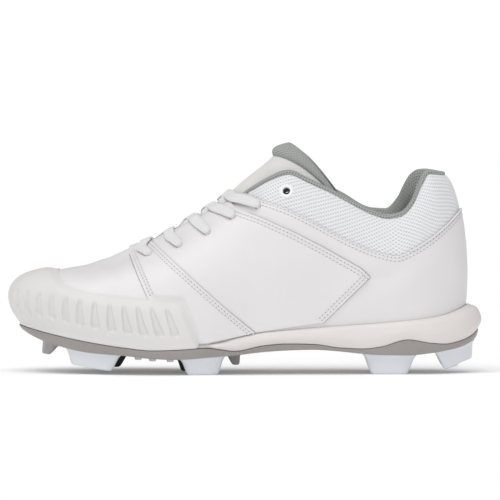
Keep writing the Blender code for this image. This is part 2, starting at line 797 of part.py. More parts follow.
def lace_run(name, row, side, far_part):
    """A lace from a hole over the edge of the throat to the middle, and on to the far side."""
    u, v = hole_place(row, side)
    hole, middle = LACE_HOLES["along"][row - 1], LACE_HOLES["middle"][row - 1]
    edge = share_at(TOP_LINE, hole + (middle - hole) * LACE_AT_EDGE)
    middle_share = share_at(TONGUE, middle)
    stops = [lace_on_wall(u, v), lace_on_wall((u + u_of(edge, side)) / 2, (v + 0.99) / 2)]
    stops.append(lace_on_wall(u_of(edge, side), 0.99))
    stops.append(lace_on_tongue(middle_share, side, 1.0))
    if far_part is None:
        far_u, far_v = hole_place(row, -side)
        stops.append(lace_on_wall(u_of(edge, -side), 0.99))
        stops.append(lace_on_wall((far_u + u_of(edge, -side)) / 2, (far_v + 0.99) / 2))
        stops.append(lace_on_wall(far_u, far_v))
    else:
        stops.append(lace_on_tongue(share_at(TONGUE, middle - 2.0), -side, far_part))
    return band(name, [s[0] for s in stops], [s[1] for s in stops], 9)


def make_lace_cross(row):
    first = lace_run(f"lace_cross_{row}", row, -1, 0.7)
    second = lace_run("second_run", row, 1, 0.7)
    modify(first, "BOOLEAN", operation="UNION", solver="EXACT", object=second)
    bpy.data.objects.remove(second)
    return first


# Studs


def edge_of_sole(x, side):
    """Where the outsole's edge lies across the shoe, on one side."""
    u = u_of(np.linspace(0, 1, LOOKUP), side)
    ring = sole_ring(u, smooth(SOLE_SIDE, "edge", share_of(u)), "joint")
    return np.interp(x, ring[::-1, 0], ring[::-1, 1])


def stud(name, base, tip, tip_height, across):
    """A stud from its base under the outsole to a smaller tip; across gives its two sides at an x."""
    angle = np.linspace(0, 2 * math.pi, STUD_POINTS, endpoint=False)
    cos, sin = np.cos(angle), np.sin(angle)
    reach = (np.abs(cos) ** STUD_CORNER + np.abs(sin) ** STUD_CORNER) ** (-1 / STUD_CORNER)
    a, b = (cos * reach + 1) / 2, (sin * reach + 1) / 2
    rings = []
    for ends, taper in ((base, 0.0), (tip, STUD_TAPER)):
        x = ends[0] + (ends[1] - ends[0]) * a
        first, second = across(x, taper)
        rings.append(np.column_stack([x, first + (second - first) * b]))
    root = np.column_stack([rings[0], smooth(SOLE, "under", rings[0][:, 0]) - GAP])
    end = np.column_stack([rings[1], tip_height[0] + (tip_height[1] - tip_height[0]) * a])
    shoulder = root + (end - root) * 0.86
    middle = end[:, :2].mean(0)
    end[:, :2] = middle + (end[:, :2] - middle) * 0.92
    return capped(name, [root, shoulder, end])


def make_paired_stud(name, side, base, tip, tip_height):
    def across(x, taper):
        outer = np.abs(edge_of_sole(x, side)) - STUD_INSET - taper
        inner = np.maximum(outer - STUD_WIDTH + 2 * taper, STUD_FROM_MIDDLE + taper)
        return side * outer, side * inner

    return stud(name, base, tip, tip_height, across)


def make_middle_stud(name, base, tip, tip_height, across):
    def sides(x, taper):
        return np.full_like(x, across[0] + taper), np.full_like(x, across[1] - taper)

    return stud(name, base, tip, tip_height, sides)


# Sole


def sole_ring(u, out, column, lift=0.0):
    """A ring round the sole at a distance past the feather edge and on one of the sole's levels."""
    plan = feather(u)[:, :2] + outward(u) * np.broadcast_to(out, np.shape(u))[:, None]
    return np.column_stack([plan, smooth(SOLE, column, plan[:, 0]) + lift])


def make_outsole():
    u = np.arange(STATIONS) / STATIONS
    edge = smooth(SOLE_SIDE, "edge", share_of(u))
    top = sole_ring(u, edge, "joint")
    under = sole_ring(u, edge - 1.0, "under")
    middle = 0.6 * top + 0.4 * under
    middle[:, :2] = sole_ring(u, edge - 0.1, "joint")[:, :2]
    return capped("outsole", [sole_ring(u, edge - 4.0, "under"), under, middle, top])


def make_midsole():
    u = np.arange(STATIONS) / STATIONS
    share = share_of(u)
    rear = ease(-25.0, -15.5, feather(u)[:, 0])
    foot = level_on_wall(u, SOLE, "bite")
    edge = smooth(SOLE_SIDE, "edge", share) - 0.4
    bottom = sole_ring(u, edge * rear - 0.3 * (1 - rear), "joint", GAP)
    lip = wall(u, foot, smooth(SOLE_SIDE, "lip", share) * rear - 0.3 * (1 - rear))
    lip_inside = wall(u, foot, (GAP + 0.05) * rear - 1.5 * (1 - rear))
    bed = sole_ring(u, (GAP + 0.05) * rear - 2.5 * (1 - rear), "bed")
    lip[:, 2] = np.minimum(lip[:, 2], smooth(SOLE, "bite", lip[:, 0]))
    lip_inside[:, 2] = np.minimum(lip_inside[:, 2], smooth(SOLE, "bite", lip_inside[:, 0]))
    belly = sole_ring(u, smooth(SOLE_SIDE, "belly", share) * rear - 0.3 * (1 - rear), "joint")
    belly[:, 2] = bottom[:, 2] + 0.4 * (lip[:, 2] - bottom[:, 2])
    shoulder = belly + (lip - belly) * np.array((0.35, 0.35, 0.75))
    return capped("midsole", [bottom, belly, shoulder, lip, lip_inside, bed])


def make_insole():
    u = np.arange(STATIONS) / STATIONS
    side = -(WALL + 0.6)
    rings = [
        sole_ring(u, side - 0.6, "bed", GAP),
        sole_ring(u, side, "bed", GAP + 1.2),
        sole_ring(u, side - 0.8, "bed", GAP + INSOLE + 1.0),
        sole_ring(u, side - 7.0, "bed", GAP + INSOLE),
    ]
    return capped("insole", rings)


def paint(piece, colour, roughness):
    """Gives a piece its own material."""
    material = bpy.data.materials.new(piece.name)
    material.use_nodes = True
    shader = material.node_tree.nodes["Principled BSDF"]
    shader.inputs["Base Color"].default_value = (*colour, 1)
    shader.inputs["Roughness"].default_value = roughness
    shader.inputs["Metallic"].default_value = 0
    piece.data.materials.clear()
    piece.data.materials.append(material)
    piece.data.shade_smooth()
    piece.data.set_sharp_from_angle(angle=math.radians(SHARP_DEGREES))


for old in list(bpy.data.objects):
    bpy.data.objects.remove(old)
shoe = bpy.data.collections.new("softball_shoe")
cutters = bpy.data.collections.new("cutters")
bpy.context.scene.collection.children.link(shoe)
bpy.context.scene.collection.children.link(cutters)

make_outsole()
make_midsole()
make_insole()
upper = make_upper()
make_toe_guard()
make_tongue()
for word, side in (("outer", -1), ("inner", 1)):
    panel = make_side_panel(f"side_panel_{word}", side)
    for row in LACE_HOLES["row"]:
        cutter = hole_cutter(row, side)
        cut(upper, cutter)
        cut(panel, cutter)
    make_eyelet(f"eyelet_{word}", side)
lace_run("lace_bar_1", 1, -1, None)
for row in (2, 3, 4, 5):
    make_lace_cross(row)
for name, sizes in PAIRED_STUDS.items():
    for word, side in (("outer", -1), ("inner", 1)):
        make_paired_stud(f"stud_{name}_{word}", side, **sizes)
for name, sizes in MIDDLE_STUDS.items():
    make_middle_stud(f"stud_{name}", **sizes)
for piece in shoe.objects:
    kind = next(word for word in LOOKS if piece.name.startswith(word))
    paint(piece, *LOOKS[kind])
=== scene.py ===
# %% [markdown]
# # A softball shoe on moulded studs
#
# The frame holds the shoe's solids at their real size. This lesson dresses them: leather, woven
# mesh, padding, lace, rubber and moulded plastic, each as its own mesh in the same place. Lengths
# are written in millimetres, because a shoemaker thinks in them, and meshes are made in metres.

# %% Load the frame
import math

import bpy
import numpy as np
from mathutils import Matrix, Vector


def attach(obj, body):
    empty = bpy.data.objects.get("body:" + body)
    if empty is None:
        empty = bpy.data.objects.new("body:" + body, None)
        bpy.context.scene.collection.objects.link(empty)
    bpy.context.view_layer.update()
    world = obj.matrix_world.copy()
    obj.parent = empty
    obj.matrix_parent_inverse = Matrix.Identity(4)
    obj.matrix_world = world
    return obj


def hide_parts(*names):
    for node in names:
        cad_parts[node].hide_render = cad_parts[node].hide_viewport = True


MM = 0.001
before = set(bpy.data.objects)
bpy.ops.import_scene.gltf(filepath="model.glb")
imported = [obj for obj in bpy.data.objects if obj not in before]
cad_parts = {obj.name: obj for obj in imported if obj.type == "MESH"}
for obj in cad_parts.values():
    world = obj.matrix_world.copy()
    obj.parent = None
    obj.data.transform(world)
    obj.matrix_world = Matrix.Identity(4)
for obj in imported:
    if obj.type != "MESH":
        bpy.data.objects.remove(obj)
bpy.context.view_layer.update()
print("solids in the frame:", len(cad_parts))

# %% [markdown]
# ## Camera, light and floor
#
# The camera stands far off with a long lens, so that near and far edges of the shoe keep almost
# the same scale. A bright world gives soft light from all round. A wide sun, high up in front and to
# the left, adds the gentle fall of light from the top of the leather to its foot, and a weaker low one
# reaches in over the collar. Unlike area lamps, suns light the whole floor alike. The floor glows a
# little, like a light table, which keeps it white.

# %% Camera, suns and floor
FRAME_WIDTH = 300.0
LENS, SENSOR, FARTHEST = 400.0, 36.0, 50.0
AIM = Vector((3.3, 0.0, 73.2)) * MM
CAMERA_LIFT = math.radians(1.5)
SKY_LIGHT, SKY_SEEN = 0.52, 1.05
FLOOR_SIZE, FLOOR_GLOW = 30.0, 0.12
# Strength of each sun, its width in degrees, and the way its light goes
SUNS = {"high_sun": (1.4, 50, (0.2, 0.42, -1.0)), "low_sun": (0.3, 40, (0.1, 1.0, -0.35))}


def linear(colour):
    """An sRGB hex colour as linear RGBA."""
    parts = [int(colour[i:i + 2], 16) / 255 for i in (1, 3, 5)]
    light = [p / 12.92 if p <= 0.04045 else ((p + 0.055) / 1.055) ** 2.4 for p in parts]
    return (*light, 1.0)


def add(tree, kind, feeds, **settings):
    """Adds a node with its settings. Each input is fed by a plain value or by another output."""
    node = tree.nodes.new("ShaderNode" + kind)
    for key, value in settings.items():
        setattr(node, key, value)
    for key, feed in feeds.items():
        if isinstance(feed, bpy.types.NodeSocket):
            tree.links.new(feed, node.inputs[key])
        else:
            node.inputs[key].default_value = feed
    return node


camera = bpy.data.objects.new("camera", bpy.data.cameras.new("camera"))
camera.data.lens = LENS
camera.data.sensor_width = SENSOR
camera.data.clip_end = FARTHEST
distance = FRAME_WIDTH * MM * LENS / SENSOR
back = Vector((0.0, -math.cos(CAMERA_LIFT), math.sin(CAMERA_LIFT)))
camera.location = AIM + back * distance
camera.rotation_euler = (-back).to_track_quat("-Z", "Y").to_euler()
scene = bpy.context.scene
scene.collection.objects.link(camera)
scene.camera = camera
scene.view_settings.view_transform = "Standard"
scene.view_settings.look = "None"

world = bpy.data.worlds.new("studio")
world.use_nodes = True
sky = world.node_tree
sky.nodes.clear()
soft = add(sky, "Background", {"Color": linear("#FBFBFC"), "Strength": SKY_LIGHT})
seen = add(sky, "Background", {"Color": linear("#FFFFFF"), "Strength": SKY_SEEN})
ray = add(sky, "LightPath", {})
both = add(sky, "MixShader", {0: ray.outputs["Is Camera Ray"], 1: soft.outputs[0], 2: seen.outputs[0]})
add(sky, "OutputWorld", {"Surface": both.outputs[0]})
scene.world = world
for name, (strength, width, way) in SUNS.items():
    sun = bpy.data.objects.new(name, bpy.data.lights.new(name, "SUN"))
    sun.data.energy = strength
    sun.data.angle = math.radians(width)
    sun.rotation_euler = Vector(way).to_track_quat("-Z", "Y").to_euler()
    scene.collection.objects.link(sun)

bpy.ops.object.select_all(action="DESELECT")
bpy.ops.mesh.primitive_plane_add(size=FLOOR_SIZE)
floor = bpy.context.object
floor.name = "studio_floor"
paper = bpy.data.materials.new("studio_paper")
paper.use_nodes = True
paper_shader = paper.node_tree.nodes["Principled BSDF"]
paper_shader.inputs["Base Color"].default_value = linear("#FDFDFD")
paper_shader.inputs["Roughness"].default_value = 0.9
paper_shader.inputs["Emission Color"].default_value = linear("#FFFFFF")
paper_shader.inputs["Emission Strength"].default_value = FLOOR_GLOW
floor.data.materials.append(paper)
print("camera stands", round(distance, 2), "m off")

# %% [markdown]
# ## The last in tables
#
# A shoe is built round a last, a wooden foot. These tables give the last and the pieces cut over it
# by a few sections, and every mesh below is worked out from them. The solids in the frame follow
# almost the same rows, so what is made here lies where they are. A few rows differ by some
# millimetres, where padding lies on the collar, under the lace and at the back of the heel.

# %% Tables
GAP = 0.3
FEATHER_HEEL_X, FEATHER_TOE_X = 131.5, -133.2
HEEL_ROUND, TOE_ROUND = 0.16, 0.28
HEEL_SQUARENESS, TOE_SQUARENESS = 2.1, 2.4
WALL, COLLAR_PAD, COLLAR_PAD_FROM, COLLAR_PAD_FULL = 2.2, 5.6, 0.45, 0.85
# Shares of the way between which the collar's foam fades out, and walls turn level inside
FOAM_FADE, LEVEL_FADE = (0.54, 0.44), (0.42, 0.62)
RAMP = 2.6
STEP = 1e-4


def table(columns, *rows):
    """A short table as a dict of columns."""
    return dict(zip(columns.split(), np.array(rows, float).T))


# Feather edge seen from above, by share of the way from heel to toe
PLAN = table(
    "share  centre  half",
    (0.00, -0.7, 31.0), (0.15, -0.7, 32.0), (0.30, -2.2, 31.5), (0.45, -4.7, 33.0), (0.60, -4.2, 40.5),
    (0.70, -1.7, 44.0), (0.80, 1.3, 44.0), (0.90, 4.3, 42.0), (1.00, 7.3, 38.0),
)
# Top line seen from above, by the same share: collar, throat edge, front of the throat
TOP_LINE = table(
    "share  along  centre  half",
    (0.00, 119.5, -0.7, 26.0), (0.05, 110.0, -0.7, 26.5), (0.15, 90.0, -0.7, 27.5),
    (0.20, 78.8, -0.7, 28.5), (0.30, 52.0, -0.7, 29.5), (0.40, 26.2, -0.2, 27.5),
    (0.50, 6.0, 0.3, 20.0), (0.60, -14.0, 0.8, 15.5), (0.70, -34.0, 1.3, 13.5),
    (0.80, -49.0, 1.8, 12.5), (0.90, -59.0, 2.3, 11.0), (1.00, -64.0, 2.3, 10.0),
)
# Height of the top line by place along the shoe, on the outer and on the inner side
COLLAR = table(
    "along  outer  inner",
    (-64.0, 77.5, 77.5), (-59.0, 78.6, 78.6), (-34.0, 90.0, 90.0), (-14.0, 100.5, 100.5),
    (6.2, 111.1, 111.1), (14.5, 115.8, 115.8), (26.2, 119.6, 119.6), (38.6, 114.4, 114.8),
    (57.4, 105.0, 106.0), (77.0, 95.2, 96.0), (85.0, 93.1, 95.6), (92.5, 94.3, 102.5),
    (96.6, 97.4, 110.5), (100.3, 102.5, 116.2), (105.2, 113.4, 119.6), (109.5, 119.6, 120.2),
    (119.5, 119.2, 119.2),
)
# Wall sections: squareness of the turn, share of the height that is the turned dome, and bulge
SECTION = table(
    "share  square  dome  bulge",
    (0.00, 2.2, 1.00, 3.0), (0.15, 2.2, 1.00, 3.6), (0.30, 2.1, 1.00, 3.6), (0.45, 2.0, 0.94, 3.2),
    (0.60, 2.1, 0.86, 3.4), (0.75, 2.6, 0.78, 4.0), (0.90, 4.8, 0.68, 5.4), (1.00, 6.6, 0.64, 6.6),
)
# Levels of the sole: underside of the outsole, its joint, the bed under the foot, the midsole's lip
SOLE = table(
    "along  under  joint  bed  bite",
    (-136.0, 27.4, 28.6, 31.6, 31.6), (-127.0, 22.6, 26.4, 30.0, 30.0), (-116.0, 18.5, 23.8, 27.2, 27.2),
    (-93.0, 13.5, 19.3, 22.6, 22.6), (-70.0, 11.6, 15.9, 18.6, 18.6), (-55.0, 10.0, 14.5, 17.2, 17.2),
    (-40.0, 9.5, 14.9, 17.3, 17.3), (-22.0, 10.6, 15.9, 18.2, 18.2), (-15.0, 11.1, 15.2, 19.0, 19.0),
    (-6.0, 11.7, 14.0, 20.2, 21.6), (12.0, 13.7, 17.2, 22.8, 25.0), (24.0, 14.5, 18.2, 24.0, 26.2),
    (41.0, 14.9, 17.9, 25.2, 27.6), (56.0, 13.9, 15.9, 25.8, 28.8), (71.0, 12.4, 15.2, 26.2, 29.8),
    (81.0, 11.8, 16.4, 26.4, 30.6), (97.0, 11.8, 20.6, 26.8, 32.0), (112.0, 13.0, 18.4, 27.2, 33.8),
    (120.0, 14.2, 17.9, 27.6, 35.6), (128.0, 15.9, 19.4, 28.0, 38.6), (136.0, 19.2, 22.6, 28.4, 42.0),
    (142.0, 24.6, 28.0, 28.8, 42.6),
)
# How far the sole stands out past the feather edge
SOLE_SIDE = table(
    "share  edge  belly  lip",
    (0.00, 8.6, 10.6, 2.4), (0.04, 6.6, 8.6, 2.4), (0.15, 3.8, 5.8, 2.2), (0.30, 2.2, 4.6, 2.0),
    (0.45, 0.8, 3.4, 1.8), (0.55, 1.6, 3.4, 1.6), (0.65, 2.4, 2.6, 1.4), (1.00, 2.2, 2.4, 1.4),
)
# Seam where the woven collar starts, in side view
MESH_LINE = table(
    "along  height",
    (-4.0, 125.0), (0.9, 108.0), (6.8, 104.9), (22.3, 99.7), (37.8, 92.5), (53.3, 84.2), (63.6, 79.0),
    (79.0, 72.9), (90.5, 70.6), (99.8, 73.9), (110.0, 80.0), (120.5, 88.4), (130.0, 98.0),
)
# Tongue by share along the throat: its middle line, its thickness, and how far its wings reach down
TONGUE = table(
    "share  along  height  thick  wing",
    (0.31, 26.5, 136.6, 7.5, 0.86), (0.33, 22.0, 134.4, 9.5, 0.80), (0.36, 18.2, 130.8, 9.0, 0.76),
    (0.40, 14.0, 126.6, 7.0, 0.74), (0.46, 7.0, 121.0, 6.0, 0.74), (0.52, -0.6, 115.0, 5.5, 0.77),
    (0.60, -13.6, 103.4, 5.0, 0.80), (0.70, -33.0, 91.2, 4.5, 0.80), (0.80, -47.5, 82.2, 4.0, 0.80),
    (0.90, -57.0, 76.6, 3.5, 0.82), (1.00, -62.6, 73.6, 3.0, 0.84),
)
print("last:", FEATHER_HEEL_X - FEATHER_TOE_X, "mm from heel to toe")

# %% [markdown]
# ## The upper's function
#
# The wall of the upper is one function of two numbers. u runs once round the shoe from the heel,
# along the outer side to the toe at 0.5 and back along the inner side. v climbs from the feather
# edge, where the upper meets the sole, to the top line. A panel is then a patch of u and v, and a
# seam is a line in them, which is how a pattern cutter draws on a last. The wall could be modelled
# by hand under a subdivision surface, but a function keeps thin layers apart by exact fractions of
# a millimetre, so that none of them shows through another.

# %% Curves, shares and sides


def smooth(rows, column, at):
    """A curve through one column of a table that never overshoots its rows."""
    key = next(iter(rows))
    x, y = rows[key], rows[column]
    at = np.clip(np.asarray(at, float), x[0], x[-1])
    width = np.diff(x)
    rise = np.diff(y) / width
    slope = np.concatenate([rise[:1], np.zeros(len(x) - 2), rise[-1:]])
    before, after = 2 * width[1:] + width[:-1], width[1:] + 2 * width[:-1]
    same_way = rise[:-1] * rise[1:] > 0
    safe_before = np.where(same_way, rise[:-1], 1.0)
    safe_after = np.where(same_way, rise[1:], 1.0)
    mean = (before + after) / (before / safe_before + after / safe_after)
    slope[1:-1] = np.where(same_way, mean, 0.0)
    i = np.clip(np.searchsorted(x, at, side="right") - 1, 0, len(x) - 2)
    t = (at - x[i]) / width[i]
    return (
        y[i] * (1 + 2 * t) * (1 - t) ** 2
        + slope[i] * width[i] * t * (1 - t) ** 2
        + y[i + 1] * t**2 * (3 - 2 * t)
        - slope[i + 1] * width[i] * t**2 * (1 - t)
    )


def ease(start, end, at):
    """0 before start, 1 after end, and a soft step between them."""
    t = np.clip((np.asarray(at, float) - start) / (end - start), 0, 1)
    return t * t * (3 - 2 * t)


def share_of(u):
    """Share of the way from heel to toe."""
    return (1 - np.cos(2 * math.pi * u)) / 2


def side_of(u):
    """-1 on the outer side and 1 on the inner side."""
    return np.where(np.mod(u, 1.0) < 0.5, -1.0, 1.0)


def u_of(share, side):
    """The u at a share of the way, on one side."""
    u = np.arccos(1 - 2 * np.asarray(share, float)) / (2 * math.pi)
    return np.where(np.asarray(side) < 0, u, 1 - u)


def unit(vectors):
    """Vectors brought to length one."""
    return vectors / np.maximum(np.linalg.norm(vectors, axis=-1, keepdims=True), 1e-9)


print("last is", 2 * smooth(PLAN, "half", 0.75), "mm wide over the ball")

# %% Wall of the upper


def end_rounding(share):
    """How much of the half width is left towards the round ends."""
    heel = np.clip(1 - share / HEEL_ROUND, 0, 1)
    toe = np.clip(1 - (1 - share) / TOE_ROUND, 0, 1)
    heel_part = np.clip(1 - heel**HEEL_SQUARENESS, 0, 1) ** (1 / HEEL_SQUARENESS)
    toe_part = np.clip(1 - toe**TOE_SQUARENESS, 0, 1) ** (1 / TOE_SQUARENESS)
    return heel_part * toe_part


def feather(u):
    """Point of the feather edge."""
    share = share_of(u)
    x = FEATHER_HEEL_X + share * (FEATHER_TOE_X - FEATHER_HEEL_X)
    y = smooth(PLAN, "centre", share) + side_of(u) * smooth(PLAN, "half", share) * end_rounding(share)
    return np.stack([x, y, smooth(SOLE, "bed", x) + GAP], -1)


def top_line(u):
    """Point of the top line."""
    share = share_of(u)
    x = smooth(TOP_LINE, "along", share)
    half = smooth(TOP_LINE, "half", share) * end_rounding(share)
    y = smooth(TOP_LINE, "centre", share) + side_of(u) * half
    z = np.where(side_of(u) < 0, smooth(COLLAR, "outer", x), smooth(COLLAR, "inner", x))
    return np.stack([x, y, z], -1)


def outward(u):
    """Level direction out of the feather edge."""
    along = feather(u + STEP) - feather(u - STEP)
    return unit(np.stack([-along[..., 1], along[..., 0]], -1))


def bare_wall(u, v):
    """Point of the upper's outer face."""
    u, v = np.broadcast_arrays(np.asarray(u, float), np.asarray(v, float))
    share = share_of(u)
    foot, top = feather(u), top_line(u)
    square, dome = smooth(SECTION, "square", share), smooth(SECTION, "dome", share)
    cos, sin = np.cos(v * math.pi / 2), np.sin(v * math.pi / 2)
    reach = (np.abs(cos) ** square + np.abs(sin) ** square) ** (-1 / square)
    inward, climb = 1 - cos * reach, sin * reach
    level = np.clip(climb, 0, 1)
    bulge = smooth(SECTION, "bulge", share) * 4 * level * (1 - level)
    plan = foot[..., :2] + (top - foot)[..., :2] * inward[..., None] + outward(u) * bulge[..., None]
    rise = (top - foot)[..., 2] * (dome * climb + (1 - dome) * np.abs(inward) ** RAMP)
    return np.concatenate([plan, (foot[..., 2] + rise)[..., None]], -1)


def wall_normal(u, v):
    """Way out of the upper's outer face."""
    around = bare_wall(u + STEP, v) - bare_wall(u - STEP, v)
    up = bare_wall(u, v + STEP) - bare_wall(u, v - STEP)
    return unit(np.cross(up, around))


def wall(u, v, out=0.0):
    """Point at a distance out of the upper's outer face, measured square to it."""
    return bare_wall(u, v) + wall_normal(u, v) * np.asarray(out, float)[..., None]


def inside(u, v, depth):
    """Point inside the wall: square to it in front, level round the ankle and the heel."""
    level = np.concatenate([-outward(u), np.zeros(np.shape(u) + (1,))], -1)
    mix = ease(*LEVEL_FADE, share_of(u))[..., None]
    way = unit(level * (1 - mix) - wall_normal(u, v) * mix)
    return bare_wall(u, v) + way * np.asarray(depth, float)[..., None]


def wall_thickness(u, v):
    """The upper's wall: plain leather, with foam towards the collar."""
    return WALL + COLLAR_PAD * ease(*FOAM_FADE, share_of(u)) * ease(COLLAR_PAD_FROM, COLLAR_PAD_FULL, v)


print("top of the heel:", np.round(top_line(np.array([0.0]))[0], 1))

# %% Lines drawn in side view
LEVELS = 300
NET = np.meshgrid(np.linspace(0.01, 0.49, 200), np.linspace(0.0, 1.0, 120))
NEWTON_STEPS, LONGEST_STEP = 5, 0.02
RATE_STEP = 0.01


def level_at(u, height_at):
    """The v at which each section first climbs past a line drawn in side view."""
    v = np.linspace(0, 1, LEVELS)
    points = bare_wall(u[:, None], v[None, :])
    above = points[..., 2] - height_at(points[..., 0])
    after = np.maximum(np.argmax(above > 0, axis=1), 1)
    each = np.arange(len(u))
    low, high = above[each, after - 1], above[each, after]
    found = v[after - 1] + v[1] * low / np.where(low == high, 1, low - high)
    found = np.where(np.any(above > 0, axis=1), found, 1.0)
    return np.where(above[:, 0] > 0, 0.0, np.clip(found, 0, 1))


def leather_top(u):
    """Where the leather of each section ends: at the seam of the woven collar or by the throat."""
    return level_at(u, lambda x: smooth(MESH_LINE, "height", x))


def climb_rate(u, v):
    """How many millimetres of wall go to one unit of level, just below a level."""
    return np.linalg.norm(bare_wall(u, v) - bare_wall(u, v - RATE_STEP), axis=-1) / RATE_STEP


def at_side(line, side):
    """The u and v of points given in side view: the nearest knot of a net, then Newton's steps."""
    line = np.asarray(line, float)
    net_u, net_v = NET[0].ravel(), NET[1].ravel()
    net_u = net_u if side < 0 else 1 - net_u
    net = bare_wall(net_u, net_v)[:, [0, 2]]
    nearest = [int(np.argmin(np.sum((net - p) ** 2, axis=1))) for p in line]
    u, v = net_u[nearest], net_v[nearest]
    for _ in range(NEWTON_STEPS):
        here = bare_wall(u, v)[:, [0, 2]]
        by_u = (bare_wall(u + STEP, v)[:, [0, 2]] - here) / STEP
        by_v = (bare_wall(u, v + STEP)[:, [0, 2]] - here) / STEP
        miss = line - here
        area = by_u[:, 0] * by_v[:, 1] - by_u[:, 1] * by_v[:, 0]
        step = (miss[:, 0] * by_v[:, 1] - miss[:, 1] * by_v[:, 0]) / area
        u = u + np.clip(step, -LONGEST_STEP, LONGEST_STEP)
        v = np.clip(v + (by_u[:, 0] * miss[:, 1] - by_u[:, 1] * miss[:, 0]) / area, 0, 1)
    return u, v


print("leather ends at the heel at level", round(float(leather_top(np.array([0.0]))[0]), 3))

# %% [markdown]
# ## Sheets and tubes
#
# Nearly every piece is either a sheet cut from the wall or a closed tube. A sheet starts as a grid
# primitive with as many squares as it needs, and its corners are moved onto points worked out from
# the last. Dragging thousands of corners by transform operators would be slow and less exact. The
# UV map is laid out in millimetres along the sheet, so that a weave keeps its real size and follows
# the cloth. A modifier then gives the sheet its thickness.

# %% Sheets and closed tubes
MERGE_WITHIN, DISSOLVE_WITHIN = 0.004 * MM, 0.002 * MM


def weld(piece, closed=False):
    """Merges corners that lie on each other, and turns the faces of a closed shape outwards."""
    bpy.context.view_layer.objects.active = piece
    bpy.ops.object.mode_set(mode="EDIT")
    bpy.ops.mesh.select_all(action="SELECT")
    bpy.ops.mesh.remove_doubles(threshold=MERGE_WITHIN)
    bpy.ops.mesh.dissolve_degenerate(threshold=DISSOLVE_WITHIN)
    if closed:
        bpy.ops.mesh.normals_make_consistent(inside=False)
    bpy.ops.object.mode_set(mode="OBJECT")


def lengths(points):
    """How far along a polyline each of its points lies."""
    return np.concatenate([[0], np.cumsum(np.linalg.norm(np.diff(points, axis=0), axis=1))])


def sheet_through(name, points):
    """A grid whose corners lie on rows of points, with a UV map in millimetres."""
    rows, columns = points.shape[:2]
    bpy.ops.object.select_all(action="DESELECT")
    bpy.ops.mesh.primitive_grid_add(x_subdivisions=columns - 1, y_subdivisions=rows - 1, size=1)
    piece = bpy.context.object
    piece.name = name
    mesh = piece.data
    mesh.vertices.foreach_set("co", (points * MM).ravel())
    climbs = np.linalg.norm(np.diff(points, axis=0), axis=-1)
    u = lengths(points[rows // 2])
    v = np.concatenate([np.zeros((1, columns)), np.cumsum(climbs, axis=0)])
    flat = np.stack([np.broadcast_to(u, (rows, columns)), v], -1).reshape(-1, 2)
    corner = np.empty(len(mesh.loops), int)
    mesh.loops.foreach_get("vertex_index", corner)
    mesh.uv_layers[0].data.foreach_set("uv", flat[corner].ravel())
    mesh.update()
    return piece


def tube_through(name, rings):
    """A closed solid through rings of points, whose first and last ring are drawn together."""
    rings = np.asarray(rings)
    piece = sheet_through(name, np.concatenate([rings, rings[:, :1]], axis=1))
    weld(piece, closed=True)
    return piece


def capped_tube(name, rings, first, last):
    """A closed tube through rings, with each end drawn together in a point."""
    caps = [np.broadcast_to(point, rings[0].shape) for point in (first, last)]
    return tube_through(name, np.concatenate([caps[:1], rings, caps[1:]]))


def folded_tube(name, rings):
    """A closed tube through flat rings, whose first and last ring are folded shut."""
    fold = (rings + rings[:, ::-1]) / 2
    return tube_through(name, np.concatenate([fold[:1], rings, fold[-1:]]))


print("corners closer than", MERGE_WITHIN / MM, "mm are merged")

# %% Modifiers and finished pieces


def shape(piece, kind, **settings):
    """Adds a modifier and applies it, as the Apply button does."""
    bpy.context.view_layer.objects.active = piece
    modifier = piece.modifiers.new(kind.title(), kind)
    for key, value in settings.items():
        setattr(modifier, key, value)
    bpy.ops.object.modifier_apply(modifier=modifier.name)


def round_edges(piece, width, sharp):
    """Rounds the edges that are sharper than an angle in degrees."""
    limit = math.radians(sharp)
    shape(piece, "BEVEL", width=width * MM, segments=2, limit_method="ANGLE", angle_limit=limit)


def thicken(piece, thickness, edge):
    """Gives a sheet its thickness towards its back, and rounds the cut edges."""
    weld(piece)
    shape(piece, "SOLIDIFY", thickness=thickness * MM, offset=-1, use_even_offset=False)
    if edge:
        round_edges(piece, edge, 55)


def leaf(name, face, back, edge):
    """A closed leaf between a face and a back of as many rows and columns, with its edges rounded."""
    piece = folded_tube(name, np.concatenate([face, back[::-1]]).transpose(1, 0, 2))
    round_edges(piece, edge, 50)
    return piece


def joined(pieces):
    """Joins pieces into the first of them."""
    bpy.ops.object.select_all(action="DESELECT")
    for piece in pieces:
        piece.select_set(True)
    bpy.context.view_layer.objects.active = pieces[0]
    bpy.ops.object.join()
    return pieces[0]


def finished(piece, material, slot, *nodes, sharp=50):
    """Shades a piece, paints it, hangs it on the frame's root, and hides the frame's solids that it
    stands for.
    """
    bpy.ops.object.select_all(action="DESELECT")
    piece.select_set(True)
    bpy.context.view_layer.objects.active = piece
    bpy.ops.object.shade_smooth_by_angle(angle=math.radians(sharp))
    piece.data.materials.clear()
    piece.data.materials.append(material)
    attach(piece, "root")
    if nodes:
        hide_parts(*nodes)
    print(piece.name, len(piece.data.polygons), "faces")
    return piece


# %% Paths and lines
CORNER_STEPS, CORNER_SHARE = 6, 0.45


def push(points, distance):
    """Moves a grid of points along its own normals."""
    normal = unit(np.cross(np.gradient(points, axis=1), np.gradient(points, axis=0)))
    return points + normal * np.asarray(distance)[..., None]


